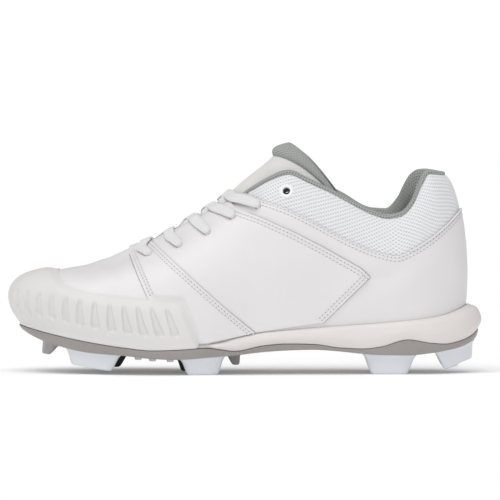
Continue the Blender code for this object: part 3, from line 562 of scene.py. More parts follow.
def curve_through(points, count):
    """A smooth path through a few points, or a smooth skin through a few rings."""
    points = np.asarray(points, float)
    padded = np.concatenate([2 * points[:1] - points[1:2], points, 2 * points[-1:] - points[-2:-1]])
    place = np.linspace(0, len(points) - 1, count)
    i = np.minimum(place.astype(int), len(points) - 2)
    t = (place - i).reshape((-1,) + (1,) * (points.ndim - 1))
    p0, p1, p2, p3 = padded[i], padded[i + 1], padded[i + 2], padded[i + 3]
    bend = 2 * p0 - 5 * p1 + 4 * p2 - p3
    twist = 3 * p1 - p0 - 3 * p2 + p3
    return 0.5 * (2 * p1 + (p2 - p0) * t + bend * t**2 + twist * t**3)


def rounded(points, radius):
    """A polyline whose corners are drawn round."""
    points = np.asarray(points, float)
    made = [points[0]]
    for before, corner, after in zip(points, points[1:], points[2:]):
        ways = [before - corner, after - corner]
        cuts = [corner + unit(way) * min(radius, np.linalg.norm(way) * CORNER_SHARE) for way in ways]
        for t in np.linspace(0, 1, CORNER_STEPS):
            made.append(cuts[0] * (1 - t) ** 2 + corner * 2 * t * (1 - t) + cuts[1] * t**2)
    return np.array(made + [points[-1]])


def evenly(points, count):
    """Points at even steps along a polyline."""
    length = lengths(points)
    at = np.linspace(0.0, length[-1], count)
    return np.stack([np.interp(at, length, column) for column in points.T], -1)


def line_distance(x, z, line):
    """Distance in side view from points to a polyline."""
    best = np.full(np.shape(x), 1e9)
    for (ax, az), (bx, bz) in zip(line[:-1], line[1:]):
        dx, dz = bx - ax, bz - az
        t = np.clip(((x - ax) * dx + (z - az) * dz) / (dx * dx + dz * dz), 0, 1)
        best = np.minimum(best, np.hypot(x - ax - t * dx, z - az - t * dz))
    return best


def angles_round(count):
    """Angles at even steps once round."""
    return np.linspace(0, 2 * math.pi, count, endpoint=False)


seam_line = np.column_stack(list(MESH_LINE.values()))
print("collar seam is", round(lengths(seam_line)[-1]), "mm long in side view")

# %% [markdown]
# ## Finishes
#
# Each finish starts from what the material is and how its surface was made. Grain and moulded skin
# read Object coordinates, whose unit is the metre, so a scale is one over the grain's size. Weaves
# read the UV map, which is in millimetres.

# %% Leather, rubber and moulded plastic
# Sizes in millimetres: clouds of colour on moulded skins, then clouds, pebbles and pores of leather
SKIN_CLOUD, GLOSS_SPREAD = 28, 0.05
HIDE_CLOUD, PEBBLE, PORE, HIDE_DEPTH = 35, 1.3, 0.5, 0.1


def new_finish(name):
    """An empty material and its node tree."""
    material = bpy.data.materials.new(name)
    material.use_nodes = True
    material.node_tree.nodes.clear()
    return material, material.node_tree


def surface(tree, colour, bump, more):
    """Ends a finish: its colour, its bump and its other values go into one shader."""
    feeds = {"Base Color": colour.outputs[2], "Normal": bump.outputs["Normal"]}
    shader = add(tree, "BsdfPrincipled", feeds | more)
    add(tree, "OutputMaterial", {"Surface": shader.outputs["BSDF"]})


def moulded(name, light, dark, roughness, grain, depth):
    """A moulded or coated skin: two close colours in soft clouds, and a fine grain."""
    material, tree = new_finish(name)
    place = add(tree, "TexCoord", {}).outputs["Object"]
    cloud = add(tree, "TexNoise", {"Vector": place, "Scale": 1 / (SKIN_CLOUD * MM), "Detail": 3.0})
    skin = add(tree, "TexNoise", {"Vector": place, "Scale": 1 / (grain * MM), "Detail": 2.0})
    feeds = {0: cloud.outputs["Fac"], 6: linear(dark), 7: linear(light)}
    colour = add(tree, "Mix", feeds, data_type="RGBA")
    low, high = roughness - GLOSS_SPREAD, roughness + GLOSS_SPREAD
    gloss = add(tree, "MapRange", {"Value": cloud.outputs["Fac"], "To Min": low, "To Max": high})
    bump = add(tree, "Bump", {"Height": skin.outputs["Fac"], "Strength": 0.5, "Distance": depth * MM})
    surface(tree, colour, bump, {"Roughness": gloss.outputs["Result"]})
    return material


def coated_leather():
    """Split leather under a white coat: pebbles of about a millimetre, and a low sheen on top."""
    material, tree = new_finish("coated_leather")
    place = add(tree, "TexCoord", {}).outputs["Object"]
    cloud = add(tree, "TexNoise", {"Vector": place, "Scale": 1 / (HIDE_CLOUD * MM), "Detail": 3.0})
    pebble = add(tree, "TexVoronoi", {"Vector": place, "Scale": 1 / (PEBBLE * MM)}, feature="SMOOTH_F1")
    pore = add(tree, "TexNoise", {"Vector": place, "Scale": 1 / (PORE * MM), "Detail": 2.0})
    height = add(tree, "Math", {0: pebble.outputs["Distance"], 1: pore.outputs["Fac"]}, operation="ADD")
    feeds = {"Height": height.outputs[0], "Strength": 0.35, "Distance": HIDE_DEPTH * MM}
    bump = add(tree, "Bump", feeds)
    feeds = {0: cloud.outputs["Fac"], 6: linear("#DDDBDB"), 7: linear("#E4E2E3")}
    colour = add(tree, "Mix", feeds, data_type="RGBA")
    gloss = add(tree, "MapRange", {"Value": cloud.outputs["Fac"], "To Min": 0.38, "To Max": 0.50})
    coat = {"Roughness": gloss.outputs["Result"], "Coat Weight": 0.12, "Coat Roughness": 0.35}
    surface(tree, colour, bump, coat)
    return material


leather = coated_leather()
# Rubber from a polished mould: an even satin face, a little warmer than the leather
guard_rubber = moulded("moulded_rubber", "#DFDDDC", "#D8D6D4", 0.5, 0.7, 0.05)
# Foam with the closed skin of its mould: warm white, with a slightly uneven sheen
foam_skin = moulded("moulded_foam_skin", "#E2DDDA", "#D9D4D0", 0.52, 0.9, 0.06)
# Hard plastic of plate, studs and blades: smoother, so it shows a soft gloss along its edges
plate_plastic = moulded("moulded_plate_plastic", "#9C9793", "#8F8A86", 0.4, 0.8, 0.05)
stud_plastic = moulded("moulded_stud_plastic", "#DEE1E6", "#D7DAE0", 0.34, 0.8, 0.03)
blade_plastic = moulded("moulded_black_plastic", "#1E1E1F", "#151516", 0.4, 0.8, 0.05)
ring_plastic = moulded("moulded_ring_plastic", "#F4F4F5", "#EEEEF0", 0.35, 0.8, 0.02)
# The same stud plastic in grey: painted shade for the studs along the middle, which sit inboard in
# shadow. The tread's nubs take it too
stud_plastic_painted_shade = moulded("moulded_stud_plastic_painted_shade", "#BDBBBA", "#B3B1B0", 0.4, 0.8, 0.05)
# Thread has no coat, so it looks dull. The needle holes and the cut edges of leather along the seams
# are painted shade: dark grey for the shadow in a hole, lighter grey for the gap at a cut edge
thread = moulded("bonded_thread", "#E2E0E1", "#D6D4D5", 0.7, 0.3, 0.05)
needle_hole_shade = moulded("needle_hole_painted_shade", "#A3A1A2", "#939192", 0.8, 0.3, 0.05)
seam_gap_shade = moulded("seam_gap_painted_shade", "#C0BEBE", "#B2B0B0", 0.8, 0.4, 0.05)
print("skins:", [m.name for m in bpy.data.materials if m.users == 0])

# %% [markdown]
# Woven finishes share one recipe. In a plain weave each thread passes over and under the next, so
# bumps and dips follow each other like the fields of a chessboard. The product of two sine waves has
# just that form, and it can be stretched and turned to any thread. The threads of a real lining are
# finer than a pixel, so each weave is drawn as coarse as it has to be to show.

# %% Woven cloths
FUZZ, CLOTH_ROUGHNESS, SHEEN, SHEEN_ROUGHNESS = 0.35, 0.85, 0.15, 0.5


def woven(name, light, shade, long, high, closed, turn, depth):
    """A woven cloth in UV millimetres: size of a bump, how closed the dips are, and a turn."""
    material, tree = new_finish(name)
    flat = add(tree, "TexCoord", {}).outputs["UV"]
    size = {"Rotation": (0, 0, math.radians(turn)), "Scale": (long / math.pi, high / math.pi, 1)}
    turned = add(tree, "Mapping", {"Vector": flat} | size, vector_type="TEXTURE")
    split = add(tree, "SeparateXYZ", {"Vector": turned.outputs["Vector"]})
    warp = add(tree, "Math", {0: split.outputs["X"]}, operation="SINE")
    weft = add(tree, "Math", {0: split.outputs["Y"]}, operation="SINE")
    over = add(tree, "Math", {0: warp.outputs[0], 1: weft.outputs[0]}, operation="MULTIPLY")
    feeds = {"Value": over.outputs[0], "From Min": -0.95, "From Max": 1 - 2 * closed}
    raised = add(tree, "MapRange", feeds, interpolation_type="SMOOTHSTEP")
    # Dips take the darker shade colour and raised threads the light one, so the shade between the
    # threads is painted in
    feeds = {0: raised.outputs["Result"], 6: linear(shade), 7: linear(light)}
    colour = add(tree, "Mix", feeds, data_type="RGBA")
    place = add(tree, "TexCoord", {}).outputs["Object"]
    fuzz = add(tree, "TexNoise", {"Vector": place, "Scale": 1 / (FUZZ * MM), "Detail": 3.0})
    feeds = {0: fuzz.outputs["Fac"], 1: 0.5, 2: raised.outputs["Result"]}
    height = add(tree, "Math", feeds, operation="MULTIPLY_ADD")
    bump = add(tree, "Bump", {"Height": height.outputs[0], "Strength": 0.8, "Distance": depth * MM})
    fibre = {"Sheen Weight": SHEEN, "Sheen Roughness": SHEEN_ROUGHNESS}
    surface(tree, colour, bump, {"Roughness": CLOTH_ROUGHNESS} | fibre)
    return material


# Open mesh: pale threads round small shaded gaps
collar_weave = woven("open_woven_mesh", "#EAEAEC", "#CBCDD0", 1.6, 1.15, 0.4, 0, 0.3)
# Brushed lining on the bias: grey, with the shade in its dips painted as dark slanting flecks, coarse on
# the roll and finer on the tongue
lining_weave = woven("brushed_woven_lining", "#A8AAA7", "#6E716E", 1.5, 1.0, 0.4, 38, 0.3)
roll_weave = woven("padded_woven_lining", "#A9ABA9", "#757876", 1.0, 0.7, 0.4, 38, 0.25)
# Plain cloth: a fine, quiet texture in cream
tongue_weave = woven("plain_woven_cloth", "#DFDEDB", "#C9C8C4", 0.8, 0.6, 0.5, 0, 0.12)
# Braid: bright threads that cross at half a right angle
lace_weave = woven("flat_braided_lace", "#E9E8E8", "#CAC9CA", 1.0, 0.7, 0.5, 45, 0.2)
# Knit: small even stitches in grey
insole_weave = woven("knitted_insole_cloth", "#8D8F8E", "#6A6C6B", 0.9, 0.7, 0.4, 0, 0.12)
print("weaves:", [m.name for m in bpy.data.materials if "wove" in m.name])

# %% [markdown]
# ## Leather of the upper
#
# The vamp and the quarters are one sheet of leather pulled over the last from the feather edge up
# to the throat and to the seam of the woven collar. It is drawn as one closed sheet round the shoe,
# with the few soft troughs that walking would start, in front of the throat and at the ankle. A
# sculpted block could give the same outside. A sheet with a Solidify modifier has a real cut edge
# too, and its lace holes are cut through by a Boolean, so one can look into them.

# %% Seams, creases and lace holes
LACE_HOLES = table(
    "row  along  height  middle",
    (1, -56.7, 70.2, -57.0), (2, -38.7, 76.2, -45.3), (3, -21.9, 84.0, -31.5),
    (4, -6.9, 93.6, -20.5), (5, 8.1, 100.2, -11.0), (6, 24.9, 109.2, 24.9),
)
HOLE_RADIUS, CUTTER_LONG, CUTTER_BACK = 2.2, 26.0, 4.0
STRIP_PUFF, SEAM_DIP, SEAM_HALF = 0.75, 0.55, 0.9
# Seams in side view
VAMP_SEAM = [(-68.7, 71.5), (-57.3, 46.6)]
PANEL_TOP = [(-4.7, 97.9), (10.0, 93.0), (28.4, 85.0), (46.7, 75.6), (69.3, 63.0), (74.5, 58.0)]
PANEL_REAR = [(74.5, 58.0), (47.0, 31.2)]
# Soft creases in side view: two ends, half width and depth
CREASES = (
    ((-80.0, 66.0), (-66.0, 52.0), 4.0, 0.35),
    ((-94.0, 62.0), (-80.0, 50.0), 5.0, 0.30),
    ((66.0, 52.0), (92.0, 60.0), 6.0, 0.40),
    ((96.0, 44.0), (118.0, 56.0), 7.0, 0.35),
)


def leather_relief(points):
    """How far creases, the padded strip under the collar and the vamp's seam move the leather."""
    x, z = points[..., 0], points[..., 2]
    lift = np.zeros(x.shape)
    for start, end, half, depth in CREASES:
        away = line_distance(x, z, (start, end)) / half
        lift += depth * (0.5 * np.exp(-((away - 1.6) ** 2)) - np.exp(-(away**2)))
    strip_low = np.interp(x, *np.array(PANEL_TOP).T)
    strip_high = smooth(MESH_LINE, "height", x)
    climb = np.clip((z - strip_low) / np.maximum(strip_high - strip_low, 1.0), 0, 1)
    on_strip = ease(-4.0, 6.0, x) * ease(92.0, 70.0, x)
    lift += STRIP_PUFF * np.sin(math.pi * climb) ** 0.8 * on_strip
    return lift - SEAM_DIP * np.exp(-((line_distance(x, z, VAMP_SEAM) / SEAM_HALF) ** 2))


def hole_at(row, side):
    """The u and v of a lace hole, as lists of one."""
    return at_side([(LACE_HOLES["along"][row - 1], LACE_HOLES["height"][row - 1])], side)


def hole_cutters(rows, sides):
    """Round cutters through the lace holes, joined into one."""
    made = []
    for side in sides:
        for row in rows:
            u, v = hole_at(row, side)
            origin, normal = Vector(bare_wall(u, v)[0]), Vector(wall_normal(u, v)[0])
            bpy.ops.object.select_all(action="DESELECT")
            bpy.ops.mesh.primitive_cylinder_add(
                vertices=24, radius=HOLE_RADIUS * MM, depth=CUTTER_LONG * MM)
            cutter = bpy.context.object
            turn = normal.to_track_quat("Z", "Y").to_matrix().to_4x4()
            cutter.data.transform(Matrix.Translation((origin - normal * CUTTER_BACK) * MM) @ turn)
            made.append(cutter)
    return joined(made)


def pierce(piece, rows, sides=(-1, 1)):
    """Cuts lace holes through a piece."""
    cutter = hole_cutters(rows, sides)
    shape(piece, "TRIANGULATE")
    shape(piece, "BOOLEAN", operation="DIFFERENCE", solver="EXACT", object=cutter)
    bpy.data.objects.remove(cutter)


print("lace holes on each side:", len(LACE_HOLES["row"]))

# %% Vamp and quarters
LEATHER_THICK, LEATHER_EDGE = 0.9, 0.3
LEATHER_COLUMNS, LEATHER_ROWS = 421, 61
u = np.linspace(1, 0, LEATHER_COLUMNS)
part = np.linspace(0, 1, LEATHER_ROWS)[:, None]
v = leather_top(u)[None, :] * part
round_u = np.broadcast_to(u, v.shape)
upper = sheet_through("vamp_and_quarters", wall(round_u, v, leather_relief(bare_wall(round_u, v))))
thicken(upper, LEATHER_THICK, LEATHER_EDGE)
pierce(upper, (1, 2, 3, 4, 5))
finished(upper, leather, "upper_leather", "upper")

# %% [markdown]
# ## Woven collar
#
# Above the quarters the wall is an open woven mesh over foam, so it puffs out a little between its
# seam and the top line. Its lower edge is tucked behind the leather, as it would be sewn. A bump in
# the material could hint at the puff, but only real height also shows in the outline of the heel.

# %% Collar mesh
TUCK, MESH_THICK, NEAR_TOP = 3.0, 0.9, 0.985
COLLAR_COLUMNS, COLLAR_ROWS = 361, 45
# Depth of the mesh behind the leather and at its seam, its puff, and the width that puffs in full
MESH_BEHIND, MESH_AT_SEAM, PUFF, FULL_PUFF = -1.15, -1.0, 1.2, 12.0
collar_u = np.linspace(0.29, -0.29, COLLAR_COLUMNS)
reach = np.nonzero(leather_top(collar_u) < NEAR_TOP)[0]
collar_u = np.linspace(collar_u[reach[0]], collar_u[reach[-1]], COLLAR_COLUMNS)
seam = leather_top(collar_u)
climb = climb_rate(collar_u, seam)
start = seam - TUCK / climb
part = np.linspace(0, 1, COLLAR_ROWS)[:, None]
v = start + (1 - start) * part
above = np.clip((v - seam) / np.maximum(1 - seam, 1e-3), 0, 1)
room = np.clip((1 - seam) * climb / FULL_PUFF, 0, 1)
room *= 0.25 + 0.75 * ease(0.0, 0.07, share_of(collar_u))
puff = np.where(v < seam, MESH_BEHIND, MESH_AT_SEAM + PUFF * np.sin(math.pi * above) ** 0.7 * room)
round_u = np.broadcast_to(collar_u, v.shape)
mesh_collar = sheet_through("collar_mesh", wall(round_u, v, puff))
thicken(mesh_collar, MESH_THICK, 0)
pierce(mesh_collar, (6,))
finished(mesh_collar, collar_weave, "upper_leather", "upper")

# %% [markdown]
# ## Lining and collar roll
#
# The grey lining starts just outside the top line, rolls over the foam of the collar and runs down
# inside the shoe. The foam is thickest a finger's width below the edge, where it holds the ankle, so
# the lining bulges there. Along the throat it stays behind the edge of the leather. Cloth with some
# pressure could blow up such a roll. Rings through a few tables are chosen instead, because the top
# line of the collar has to stay at its height to the millimetre.

# %% Lining
BEHIND, LINING_THICK = 1.25, 1.0
# Level where the roll passes into the lining, and how far inside the top line its crown and slope lie
ROLL_END, ROLL_CROWN, ROLL_SLOPE = 0.93, 1.6, 4.2
ROLL_FADE = (0.56, 0.50)
LINING_COLUMNS, ROLL_ROWS, LINING_ROWS = 361, 34, 44
# Foam behind the lining by level
FOAM = table(
    "level  thick",
    (0.00, 0.0), (0.15, 0.2), (0.35, 3.4), (0.50, 7.4), (0.62, 9.0), (0.80, 6.0), (0.92, 3.6),
    (1.00, 2.6),
)
# The roll's reach down outside the wall and its height over it, by share of the way
ROLL = table(
    "share  reach  high",
    (0.0, 1.1, 1.4), (0.05, 1.1, 1.7), (0.12, 1.6, 2.2), (0.3, 1.5, 2.4), (0.4, 0.8, 2.2),
    (0.5, 0.6, 1.4), (0.6, 0.6, 1.0),
)


def below_top(u, distance):
    """The level of each section that lies a distance below the top line, along the wall."""
    v = np.linspace(0.3, 1, LEVELS)
    steps = np.linalg.norm(np.diff(bare_wall(u[:, None], v[None, :]), axis=1), axis=-1)
    down = np.cumsum(steps[:, ::-1], axis=1)[:, ::-1]
    down = np.concatenate([down, np.zeros((len(u), 1))], axis=1)
    return np.array([np.interp(-far, -row, v) for far, row in zip(distance, down)])


u = np.linspace(1, 0, LINING_COLUMNS)
share = share_of(u)
collar = ease(*ROLL_FADE, share)[:, None]
foam = ease(*FOAM_FADE, share)
ones = np.ones_like(u)


def lining_at(level):
    """A ring of the lining, in front of its foam."""
    return inside(u, level * ones, WALL + foam * smooth(FOAM, "thick", level * ones))


top = bare_wall(u, ones)
away = np.concatenate([outward(u), np.zeros((len(u), 1))], -1)
high = smooth(ROLL, "high", share)[:, None] * np.array((0.0, 0.0, 1.0))
reach = smooth(ROLL, "reach", share)
low = below_top(u, reach)
outside = [(low, -0.9), (low + 0.4 * (1 - low), 0.5)]
roll_rings = [wall(u, level, out * ones) for level, out in outside]
roll_rings += [top + away * 0.5 * reach[:, None] + high * 0.5, top - away * ROLL_CROWN + high]
roll_rings += [top - away * ROLL_SLOPE + high * 0.5, lining_at(ROLL_END)]
throat_rings = [wall(u, level, -BEHIND * ones) for level, _ in outside]
throat_rings += [wall(u, ones, -BEHIND * ones)] * 2
throat_rings += [inside(u, ones, WALL * ones), lining_at(ROLL_END)]
rings = [a * collar + b * (1 - collar) for a, b in zip(roll_rings, throat_rings)]
rows = list(curve_through(rings, ROLL_ROWS))
rows += [lining_at(level) for level in np.linspace(ROLL_END, 0, LINING_ROWS)[1:]]
lining = sheet_through("lining_and_collar_roll", np.array(rows))
thicken(lining, LINING_THICK, 0)
pierce(lining, (1, 2, 3, 4, 5, 6))
finished(lining, lining_weave, "lining_cloth", "upper")

# %% [markdown]
# ## Side panels
#
# A second layer of leather runs from the throat down both sides to the sole, and back to a pointed
# corner under the ankle. A third piece lies on its front half. Both carry lace holes, are sewn down
# along their edges and run in under the rubber of the toe guard, so they thin out towards it. A
# Shrinkwrap modifier could lay flat patches on the wall. Here each corner is worked out from the
# wall, which gives clean edges and lets the face sink a little along each row of stitches.

# %% Lines and heights of the panels
PANEL_OUT, OVERLAY_OUT, SHEET_BACK, PANEL_EDGE = 1.25, 1.85, 0.12, 0.18
UNDER_GUARD, OVERLAY_UNDER_GUARD, TUCK_FADE = 0.30, 0.50, (3.2, 0.6)
# Height left at the edge of the throat, and the widths over which the sheets thin out
AT_THROAT, OVERLAY_AT_THROAT, THROAT_THINS, VAMP_THINS = 0.45, 0.65, 6.0, 4.5
# Dips in the face: along stitch rows, with depth, distance from the edge and half width, then round
# lace holes and along the overlay's edge, with depth and half width
ROW_DIP, HOLE_DIP, STEP_DIP = (0.22, 2.6, 1.6), (0.3, 4.0), (0.6, 0.8)
GUARD_EDGE = [(-105.5, 53.4), (-93.3, 49.6), (-74.0, 47.2), (-51.0, 44.8), (-37.0, 43.8), (-26.5, 18.0)]
PANEL_LOW = rounded(
    [(-69.2, 130.0), (-68.7, 71.5), (-56.4, 44.0), (-38.6, 41.6), (-28.6, 19.0), (-23.0, 19.4),
     (-8.0, 22.4), (6.0, 25.2), (24.0, 28.0), (47.0, 31.2), (74.5, 58.0)], 1.5)
PANEL_HIGH = rounded(
    [(-10.0, 130.0), (-7.5, 101.5), (-4.7, 97.9), (10.0, 93.0), (28.4, 85.0), (46.7, 75.6),
     (69.3, 63.0), (74.5, 58.0)], 2.5)
OVERLAY_REAR = curve_through(
    [(-55.5, 78.9), (-51.3, 74.4), (-27.3, 53.4), (-8.7, 37.2), (6.9, 24.6)], 31)
OVERLAY_HIGH = np.concatenate([[(-56.5, 130.0)], OVERLAY_REAR, [(12.0, 22.0)]])


def tucked(x, z):
    """1 where a sheet runs in under the guard, and 0 a few millimetres clear of the guard's edge."""
    inside_guard = (z < np.interp(x, *np.array(GUARD_EDGE).T)) & (x < GUARD_EDGE[-1][0])
    return np.where(inside_guard, 1.0, ease(*TUCK_FADE, line_distance(x, z, GUARD_EDGE)))


def panel_face(points, overlay=False):
    """How far the face of a panel or of the overlay stands out of the wall."""
    x, z = points[..., 0], points[..., 2]
    out, low = (OVERLAY_OUT, OVERLAY_UNDER_GUARD) if overlay else (PANEL_OUT, UNDER_GUARD)
    lift = np.full(x.shape, out)
    depth, inset, half = ROW_DIP
    for line in (VAMP_SEAM, OVERLAY_REAR) if overlay else (PANEL_TOP, PANEL_REAR):
        lift -= depth * np.exp(-(((line_distance(x, z, line) - inset) / half) ** 2))
    depth, half = HOLE_DIP
    for along, height in zip(LACE_HOLES["along"][:5], LACE_HOLES["height"][:5]):
        lift -= depth * np.exp(-((np.hypot(x - along, z - height) / half) ** 2))
    lift -= (out - low) * ease(VAMP_THINS, 0.0, line_distance(x, z, VAMP_SEAM))
    if not overlay:
        depth, half = STEP_DIP
        lift -= depth * np.exp(-((line_distance(x, z, OVERLAY_REAR) / half) ** 2))
    return lift + (low - lift) * tucked(x, z)


print("panel and overlay stand out", PANEL_OUT, "and", OVERLAY_OUT, "mm")

# %% Panels and overlays on both sides


def cut_sheet(name, low_line, high_line, side, columns, rows, overlay):
    """A sheet of leather on one side of the shoe, between two lines drawn in side view."""

    def levels(u):
        low = level_at(u, lambda x: np.interp(x, *low_line.T))
        return low, np.minimum(level_at(u, lambda x: np.interp(x, *high_line.T)), NEAR_TOP)

    u = np.linspace(0.12, 0.48, 1200)
    u = u if side < 0 else 1 - u
    low, high = levels(u)
    kept = np.nonzero(high > low + 0.002)[0]
    u = np.linspace(u[kept[0]], u[kept[-1]], columns)
    low, high = levels(u)
    v = low + np.maximum(high - low, 0.001) * np.linspace(0, 1, rows)[:, None]
    u = np.broadcast_to(u, v.shape)
    place = bare_wall(u, v)
    face = panel_face(place, overlay)
    from_throat = np.linalg.norm(place - bare_wall(u, np.full(v.shape, NEAR_TOP)), axis=-1)
    thin = OVERLAY_AT_THROAT if overlay else AT_THROAT
    face -= (face - thin) * ease(THROAT_THINS, 0.0, from_throat)
    return leaf(name, wall(u, v, face), wall(u, v, np.full(v.shape, SHEET_BACK)), PANEL_EDGE)


side_name = {-1: "outer", 1: "inner"}
for side in (-1, 1):
    panel = cut_sheet(f"quarter_panel_{side_name[side]}", PANEL_LOW, PANEL_HIGH, side, 230, 81, False)
    pierce(panel, (1, 2, 3, 4, 5), (side,))
    finished(panel, leather, "upper_leather", f"side_panel_{side_name[side]}")
    overlay = cut_sheet(f"front_overlay_{side_name[side]}", PANEL_LOW, OVERLAY_HIGH, side, 160, 61, True)
    pierce(overlay, (1, 2), (side,))
    finished(overlay, leather, "upper_leather", f"side_panel_{side_name[side]}")

# %% [markdown]
# ## Toe guard
#
# A thick rubber cap is moulded round the toe, to stand up to dragging feet. Upright pockets run
# round it and leave ribs between them. They are real dips in the face: deep and round at their lower
# end, and fading out at the top, where the cap is smooth. Boolean cutters would leave hard rims, so
# the corners of a fine grid are moved inwards instead, by a depth that rises softly from each edge.

# %% Skin of the guard
GUARD_OUT, GUARD_LIP, LIP_WIDTH, GUARD_ROUND = 2.4, 0.4, 8.0, 0.2
# Where the guard starts and ends round the toe, and how finely it is drawn
GUARD_ENDS, GUARD_COLUMNS, GUARD_ROWS = (0.722, 0.278), 541, 62
GUARD_FEET, GUARD_LEVELS = 1600, 160
GUARD_TOP = rounded(
    [(-160.0, 90.0), (-114.0, 90.0), (-112.0, 63.0), (-109.5, 58.0), *GUARD_EDGE, (-25.0, 5.0)], 4.0)


def sole_ring(u, out, column, lift=0.0):
    """A ring round the sole at a distance past the feather edge, on one of the sole's levels."""
    plan = feather(u)[..., :2] + outward(u) * np.broadcast_to(out, np.shape(u))[..., None]
    z = smooth(SOLE, column, plan[..., 0]) + lift
    return np.concatenate([plan, z[..., None]], -1)


dense = np.linspace(*GUARD_ENDS, GUARD_FEET)
length = lengths(feather(dense)[:, :2])
length -= np.interp(-0.5, -dense, length)
from_toe = np.linspace(length[0], length[-1], GUARD_COLUMNS)
u = np.interp(from_toe, length, dense)
edge = smooth(SOLE_SIDE, "edge", share_of(u)) - 0.2
foot = [sole_ring(u, edge - 0.3, "joint", GAP), sole_ring(u, edge, "joint", GAP + 0.5)]
levels = np.linspace(0.012, 0.97, GUARD_LEVELS)[:, None]
round_u = np.broadcast_to(u, (GUARD_LEVELS, len(u)))
climb = wall(round_u, np.broadcast_to(levels, round_u.shape), np.full(round_u.shape, GUARD_OUT))
columns = np.concatenate([np.array(foot), climb])
above = columns[..., 2] - np.interp(columns[..., 0], *GUARD_TOP.T)
points = []
for j in range(len(u)):
    over = np.nonzero(above[:, j] > 0)[0]
    last = max(int(over[0]), 1) if len(over) else len(columns) - 1
    low, high = above[last - 1, j], above[last, j]
    share = np.clip(low / (low - high), 0, 1) if high > 0 else 1.0
    end = columns[last - 1, j] + (columns[last, j] - columns[last - 1, j]) * share
    points.append(evenly(np.concatenate([columns[:last, j], [end]]), GUARD_ROWS))
points = np.stack(points, axis=1)
print("guard runs", round(length[-1] - length[0]), "mm round the toe")

# %% Pockets of the guard
RIBS = table(
    "along  low  high",
    (-140.0, 36.0, 52.0), (-116.0, 32.4, 48.6), (-93.0, 27.8, 45.0), (-70.0, 24.2, 41.8),
    (-55.0, 22.8, 40.8), (-40.0, 22.4, 39.8),
)
RIB_COUNT, RIB_PITCH, POCKET_DEPTH = 14, 8.8, 1.8
POCKET_FOOT, POCKET_HEAD, POCKET_EDGE = 2.9, 1.3, (-0.1, 0.9)
# Ribs lean more and more from one distance from the toe to another, about a point of their height
RIB_LEAN, LEAN_FROM, LEAN_FULL, LEAN_ABOUT = 0.36, 60.0, 110.0, 9.0
POCKET_FADE, SHALLOWER_ABOVE = (1.06, 0.8), 0.35

x, z = points[..., 0], points[..., 2]
lowest, highest = smooth(RIBS, "low", x), smooth(RIBS, "high", x)
climb = (z - lowest) / (highest - lowest)
lean = RIB_LEAN * ease(LEAN_FROM, LEAN_FULL, np.abs(from_toe))
place = np.abs(from_toe) + lean * (z - lowest - LEAN_ABOUT)
along = np.mod(place + RIB_PITCH / 2, RIB_PITCH) - RIB_PITCH / 2
in_rows = ease((RIB_COUNT - 0.4) * RIB_PITCH, (RIB_COUNT - 0.6) * RIB_PITCH, place)
half = POCKET_FOOT + (POCKET_HEAD - POCKET_FOOT) * np.clip(climb, 0, 1)
below = np.maximum(POCKET_FOOT - (z - lowest), 0)
inset = half - np.hypot(along, below)
fade = ease(*POCKET_FADE, climb) * (1 - SHALLOWER_ABOVE * np.clip(climb, 0, 1))
pocket = POCKET_DEPTH * ease(*POCKET_EDGE, inset) * fade * in_rows
from_top = np.linalg.norm(points - points[-1:], axis=-1)
back_out = SHEET_BACK + 0.5 * ease(-62.0, -54.0, x)
lip_out = back_out + GUARD_LIP
face_out = lip_out + (GUARD_OUT - lip_out) * ease(0.0, LIP_WIDTH, from_top)
face = push(points, face_out - GUARD_OUT - pocket)
guard = leaf("toe_guard_rubber", face, push(points, back_out - GUARD_OUT), GUARD_ROUND)
finished(guard, guard_rubber, "guard_rubber", "toe_guard", sharp=60)

# %% [markdown]
# ## Tongue
#
# The tongue is a padded strip under the laces. Its face and back follow the throat, and its wings
# reach down inside the wall on both sides. A grey padded roll binds its top and lines its back. It
# could be blown up as a cushion too. As the lace has to lie on it all the way, its face is worked
# out from the throat, and a table gives the roll its bulge.

# %% Tongue body
TONGUE_MIDDLE, TONGUE_CLEAR = 1.3, 1.5
# Shares along the throat at which the body starts and ends, and where the slant of its top is over
BODY_TOP, TONGUE_END, TOP_SLANT, SLANT_OVER = 0.316, 0.975, 0.024, 0.42
TONGUE_COLUMNS, BODY_ROWS = 121, 104
UNDER_VAMP = ((-4.0, 0.0, -2.6), (-9.0, 0.0, -6.2))


def tongue_point(u, part):
    """Point of the tongue's face and the way into it. part is 0 under the edge of the throat and 1
    along the middle; below 0 it is the wing, down inside the wall."""
    share = share_of(u)
    along, height = smooth(TONGUE, "along", share), smooth(TONGUE, "height", share)
    middle = np.stack([along, np.full_like(share, TONGUE_MIDDLE), height], -1)
    v = 1 + np.minimum(part, 0) * (1 - smooth(TONGUE, "wing", share))
    depth = wall_thickness(u, v) + TONGUE_CLEAR
    edge = inside(u, v, depth)
    edge_way = inside(u, v, depth + 1) - edge
    ends = [
        np.stack([smooth(TONGUE, "along", share + d), smooth(TONGUE, "height", share + d)], -1)
        for d in (-0.01, 0.01)
    ]
    run = ends[0] - ends[1]
    middle_way = unit(np.stack([run[..., 1], np.zeros_like(share), -run[..., 0]], -1))
    part = np.clip(part, 0, 1)[..., None]
    back, rise = 1 - (1 - part) ** 2, 1 - (1 - part) ** 3
    point = edge + (middle - edge) * np.concatenate([back, part, rise], -1)
    return point, unit(edge_way * (1 - part) + middle_way * part)


def tongue_faces(share, across):
    """Face, way in and thickness on a net of shares along and places across, -2 to 2."""
    share, across = np.broadcast_arrays(share, across)
    part = 1 - np.abs(across)
    point, way = tongue_point(u_of(share, np.where(across < 0, -1, 1)), part)
    thick = smooth(TONGUE, "thick", share) * np.interp(part, (-1, 0, 0.6), (0.25, 0.6, 1.0))
    return point, way, thick[..., None]


